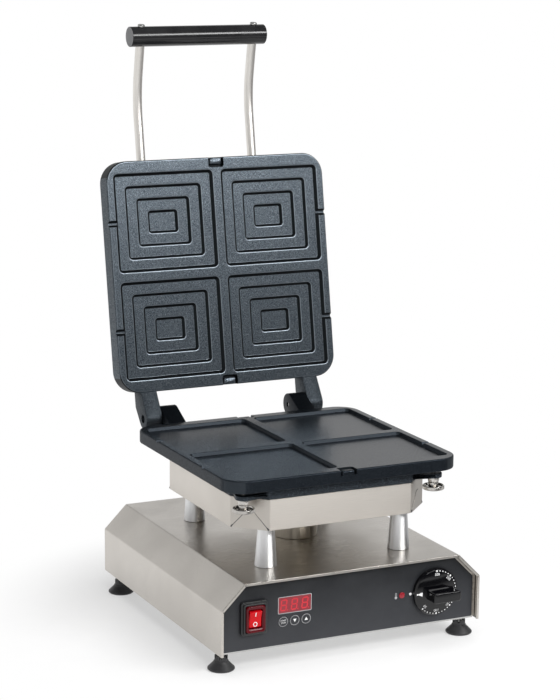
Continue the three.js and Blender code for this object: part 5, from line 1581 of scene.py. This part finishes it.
# %% Floor
def seen_rays(tree, *labels):
    """1 for the kinds of ray named, 0 for the rest."""
    ray = node(tree, "ShaderNodeLightPath").outputs
    seen = ray[labels[0]]
    for label in labels[1:]:
        seen = most(tree, seen, ray[label])
    return seen


def make_room():
    """How bright the studio is each way.

    Its floor is pale, with a dark band on the right in front of the iron. Above it the room is pale behind
    the iron and to its left, and dark overhead and on the camera's side. Both are dimmer at the far right.
    """
    outputs = [("Floor", "Float"), ("Sky", "Float")]
    tree, given, out = group_of("studio_room", [("Way", "Vector", None)], outputs)
    level = vector_math(tree, "MULTIPLY", given["Way"], (1.0, 1.0, 0.0))["Vector"]
    unit = vector_math(tree, "NORMALIZE", level)["Vector"]
    along = vector_math(tree, "DOT_PRODUCT", unit, (0.43, -0.90, 0.0))["Value"]
    aside = split_of(tree, unit)["X"]
    card = span(tree, sum_of(tree, along, 0.0, "ABSOLUTE"), 0.15, 0.70, 0.92, 1.0)
    card = times(tree, card, span(tree, aside, 0.55, 0.85, 1.0, 0.5))
    place = split_of(tree, given["Way"])
    near = most(tree, span(tree, place["Y"], -0.62, -0.44), span(tree, place["Y"], -1.02, -0.94, 1.0, 0.0))
    near = times(tree, near, span(tree, place["Y"], -1.75, -1.45))
    right_side = span(tree, place["X"], -0.10, 0.15)
    table = less(tree, 1.0, times(tree, right_side, less(tree, 0.94, near)))
    overhead = span(tree, place["Z"], 0.35, 0.70, 0.86, 0.04)
    behind = most(tree, span(tree, place["Y"], -0.25, 0.15, 0.05, 1.0), span(tree, aside, -0.35, 0.0, 0.9, 0.05))
    feed(tree, out, {"Floor": times(tree, card, table), "Sky": times(tree, times(tree, card, overhead), behind)})
    return tree


room_group = make_room()


def eye_light(tree, room_light, fill):
    """1 for what the eye sees, the room for what metal mirrors, and an even fill for the rest."""
    mirrored = times(tree, room_light, seen_rays(tree, "Is Glossy Ray"))
    shown = most(tree, mirrored, seen_rays(tree, "Is Camera Ray", "Is Transmission Ray"))
    hidden = less(tree, 1.0, seen_rays(tree, "Is Camera Ray", "Is Glossy Ray", "Is Transmission Ray"))
    return sum_of(tree, shown, times(tree, hidden, fill))


def make_floor_paint():
    """Matt white paper that keeps a shadow near the iron and is plain white to the eye further out."""
    material, tree, shader, where = start("floor_paper", Roughness=0.9)
    paper = use_group(tree, smudge_group, where, Texture=3.0)
    feed(tree, shader, {"Base Color": blend(tree, paper["Patch"], (0.90, 0.90, 0.90), (0.92, 0.92, 0.92))})
    reach = vector_math(tree, "DISTANCE", where, (0.0, -0.05, 0.0))["Value"]
    far = span(tree, reach, 0.24, 0.42, 0.45, 1.0)
    far.node.interpolation_type = "SMOOTHSTEP"
    room = use_group(tree, room_group, where)
    white = node(tree, "ShaderNodeEmission", {"Strength": eye_light(tree, room["Floor"], 0.0)})
    eyes = seen_rays(tree, "Is Camera Ray", "Is Glossy Ray", "Is Transmission Ray")
    mask = times(tree, far, eyes)
    mix = node(tree, "ShaderNodeMixShader", {0: mask, 1: shader.outputs[0], 2: white.outputs[0]})
    feed(tree, tree.nodes["Material Output"], {"Surface": mix.outputs[0]})
    return material


floor = object_of("floor", mesh_of("floor", prism(circle(0, 0, 2400, 96), -20, 0)))
floor.data.materials.append(make_floor_paint())
print("floor faces:", len(floor.data.polygons))

# %% Sky
def make_sky(fill):
    """White to the eye. What metal mirrors is the room round the table."""
    world = bpy.data.worlds.new("studio")
    world.use_nodes = True
    tree = world.node_tree
    tree.nodes.clear()
    way = node(tree, "ShaderNodeTexCoord").outputs["Generated"]
    light = eye_light(tree, use_group(tree, room_group, way)["Sky"], fill)
    ground = node(tree, "ShaderNodeBackground", {"Color": (1, 1, 1, 1), "Strength": light})
    node(tree, "ShaderNodeOutputWorld", {"Surface": ground.outputs[0]})
    return world


scene.world = make_sky(0.30)
print("sky nodes:", len(scene.world.node_tree.nodes))

# %% Lamps
def soft_lamp(name, spot, target, size, power):
    """A lamp's soft face of a size in metres, turned to a target and hidden from the camera."""
    data = bpy.data.lights.new(name, "AREA")
    data.shape = "RECTANGLE"
    data.size, data.size_y = size
    data.energy = power
    item = object_of(name, data)
    item.location = spot
    item.visible_camera = False
    item.rotation_euler = (Vector(target) - Vector(spot)).to_track_quat("-Z", "Y").to_euler()
    return item


soft_lamp("front_window", (0.95, -2.0, 1.62), (0, 0, 0.3), (2.0, 0.6), 50)
overhead = soft_lamp("overhead", (0.1, -0.3, 2.3), (0, 0, 0.2), (2.6, 2.0), 36)
overhead.visible_glossy = False

# %% Camera
CAMERA_AT = (-1.14924, -2.39744, 0.8810)
CAMERA_WAY = Vector((0.4264, 0.8809, -0.2055)).normalized()
CAMERA_ROLL = math.radians(0.57)
camera_data = bpy.data.cameras.new("view_from_the_left")
camera_data.lens = 113.0
camera_data.sensor_width = 36.0
camera_data.shift_y = 0.0019
camera_data.clip_start, camera_data.clip_end = 0.05, 60.0
camera = object_of("view_from_the_left", camera_data)
level_right = CAMERA_WAY.cross(UP).normalized()
level_up = level_right.cross(CAMERA_WAY)
right = level_right * math.cos(CAMERA_ROLL) + level_up * math.sin(CAMERA_ROLL)
upward = level_up * math.cos(CAMERA_ROLL) - level_right * math.sin(CAMERA_ROLL)
looking = Matrix((right, upward, -CAMERA_WAY)).transposed().to_4x4()
camera.matrix_world = Matrix.Translation(CAMERA_AT) @ looking
scene.camera = camera
scene.view_settings.view_transform = "Standard"
print("camera at", list(camera.location))
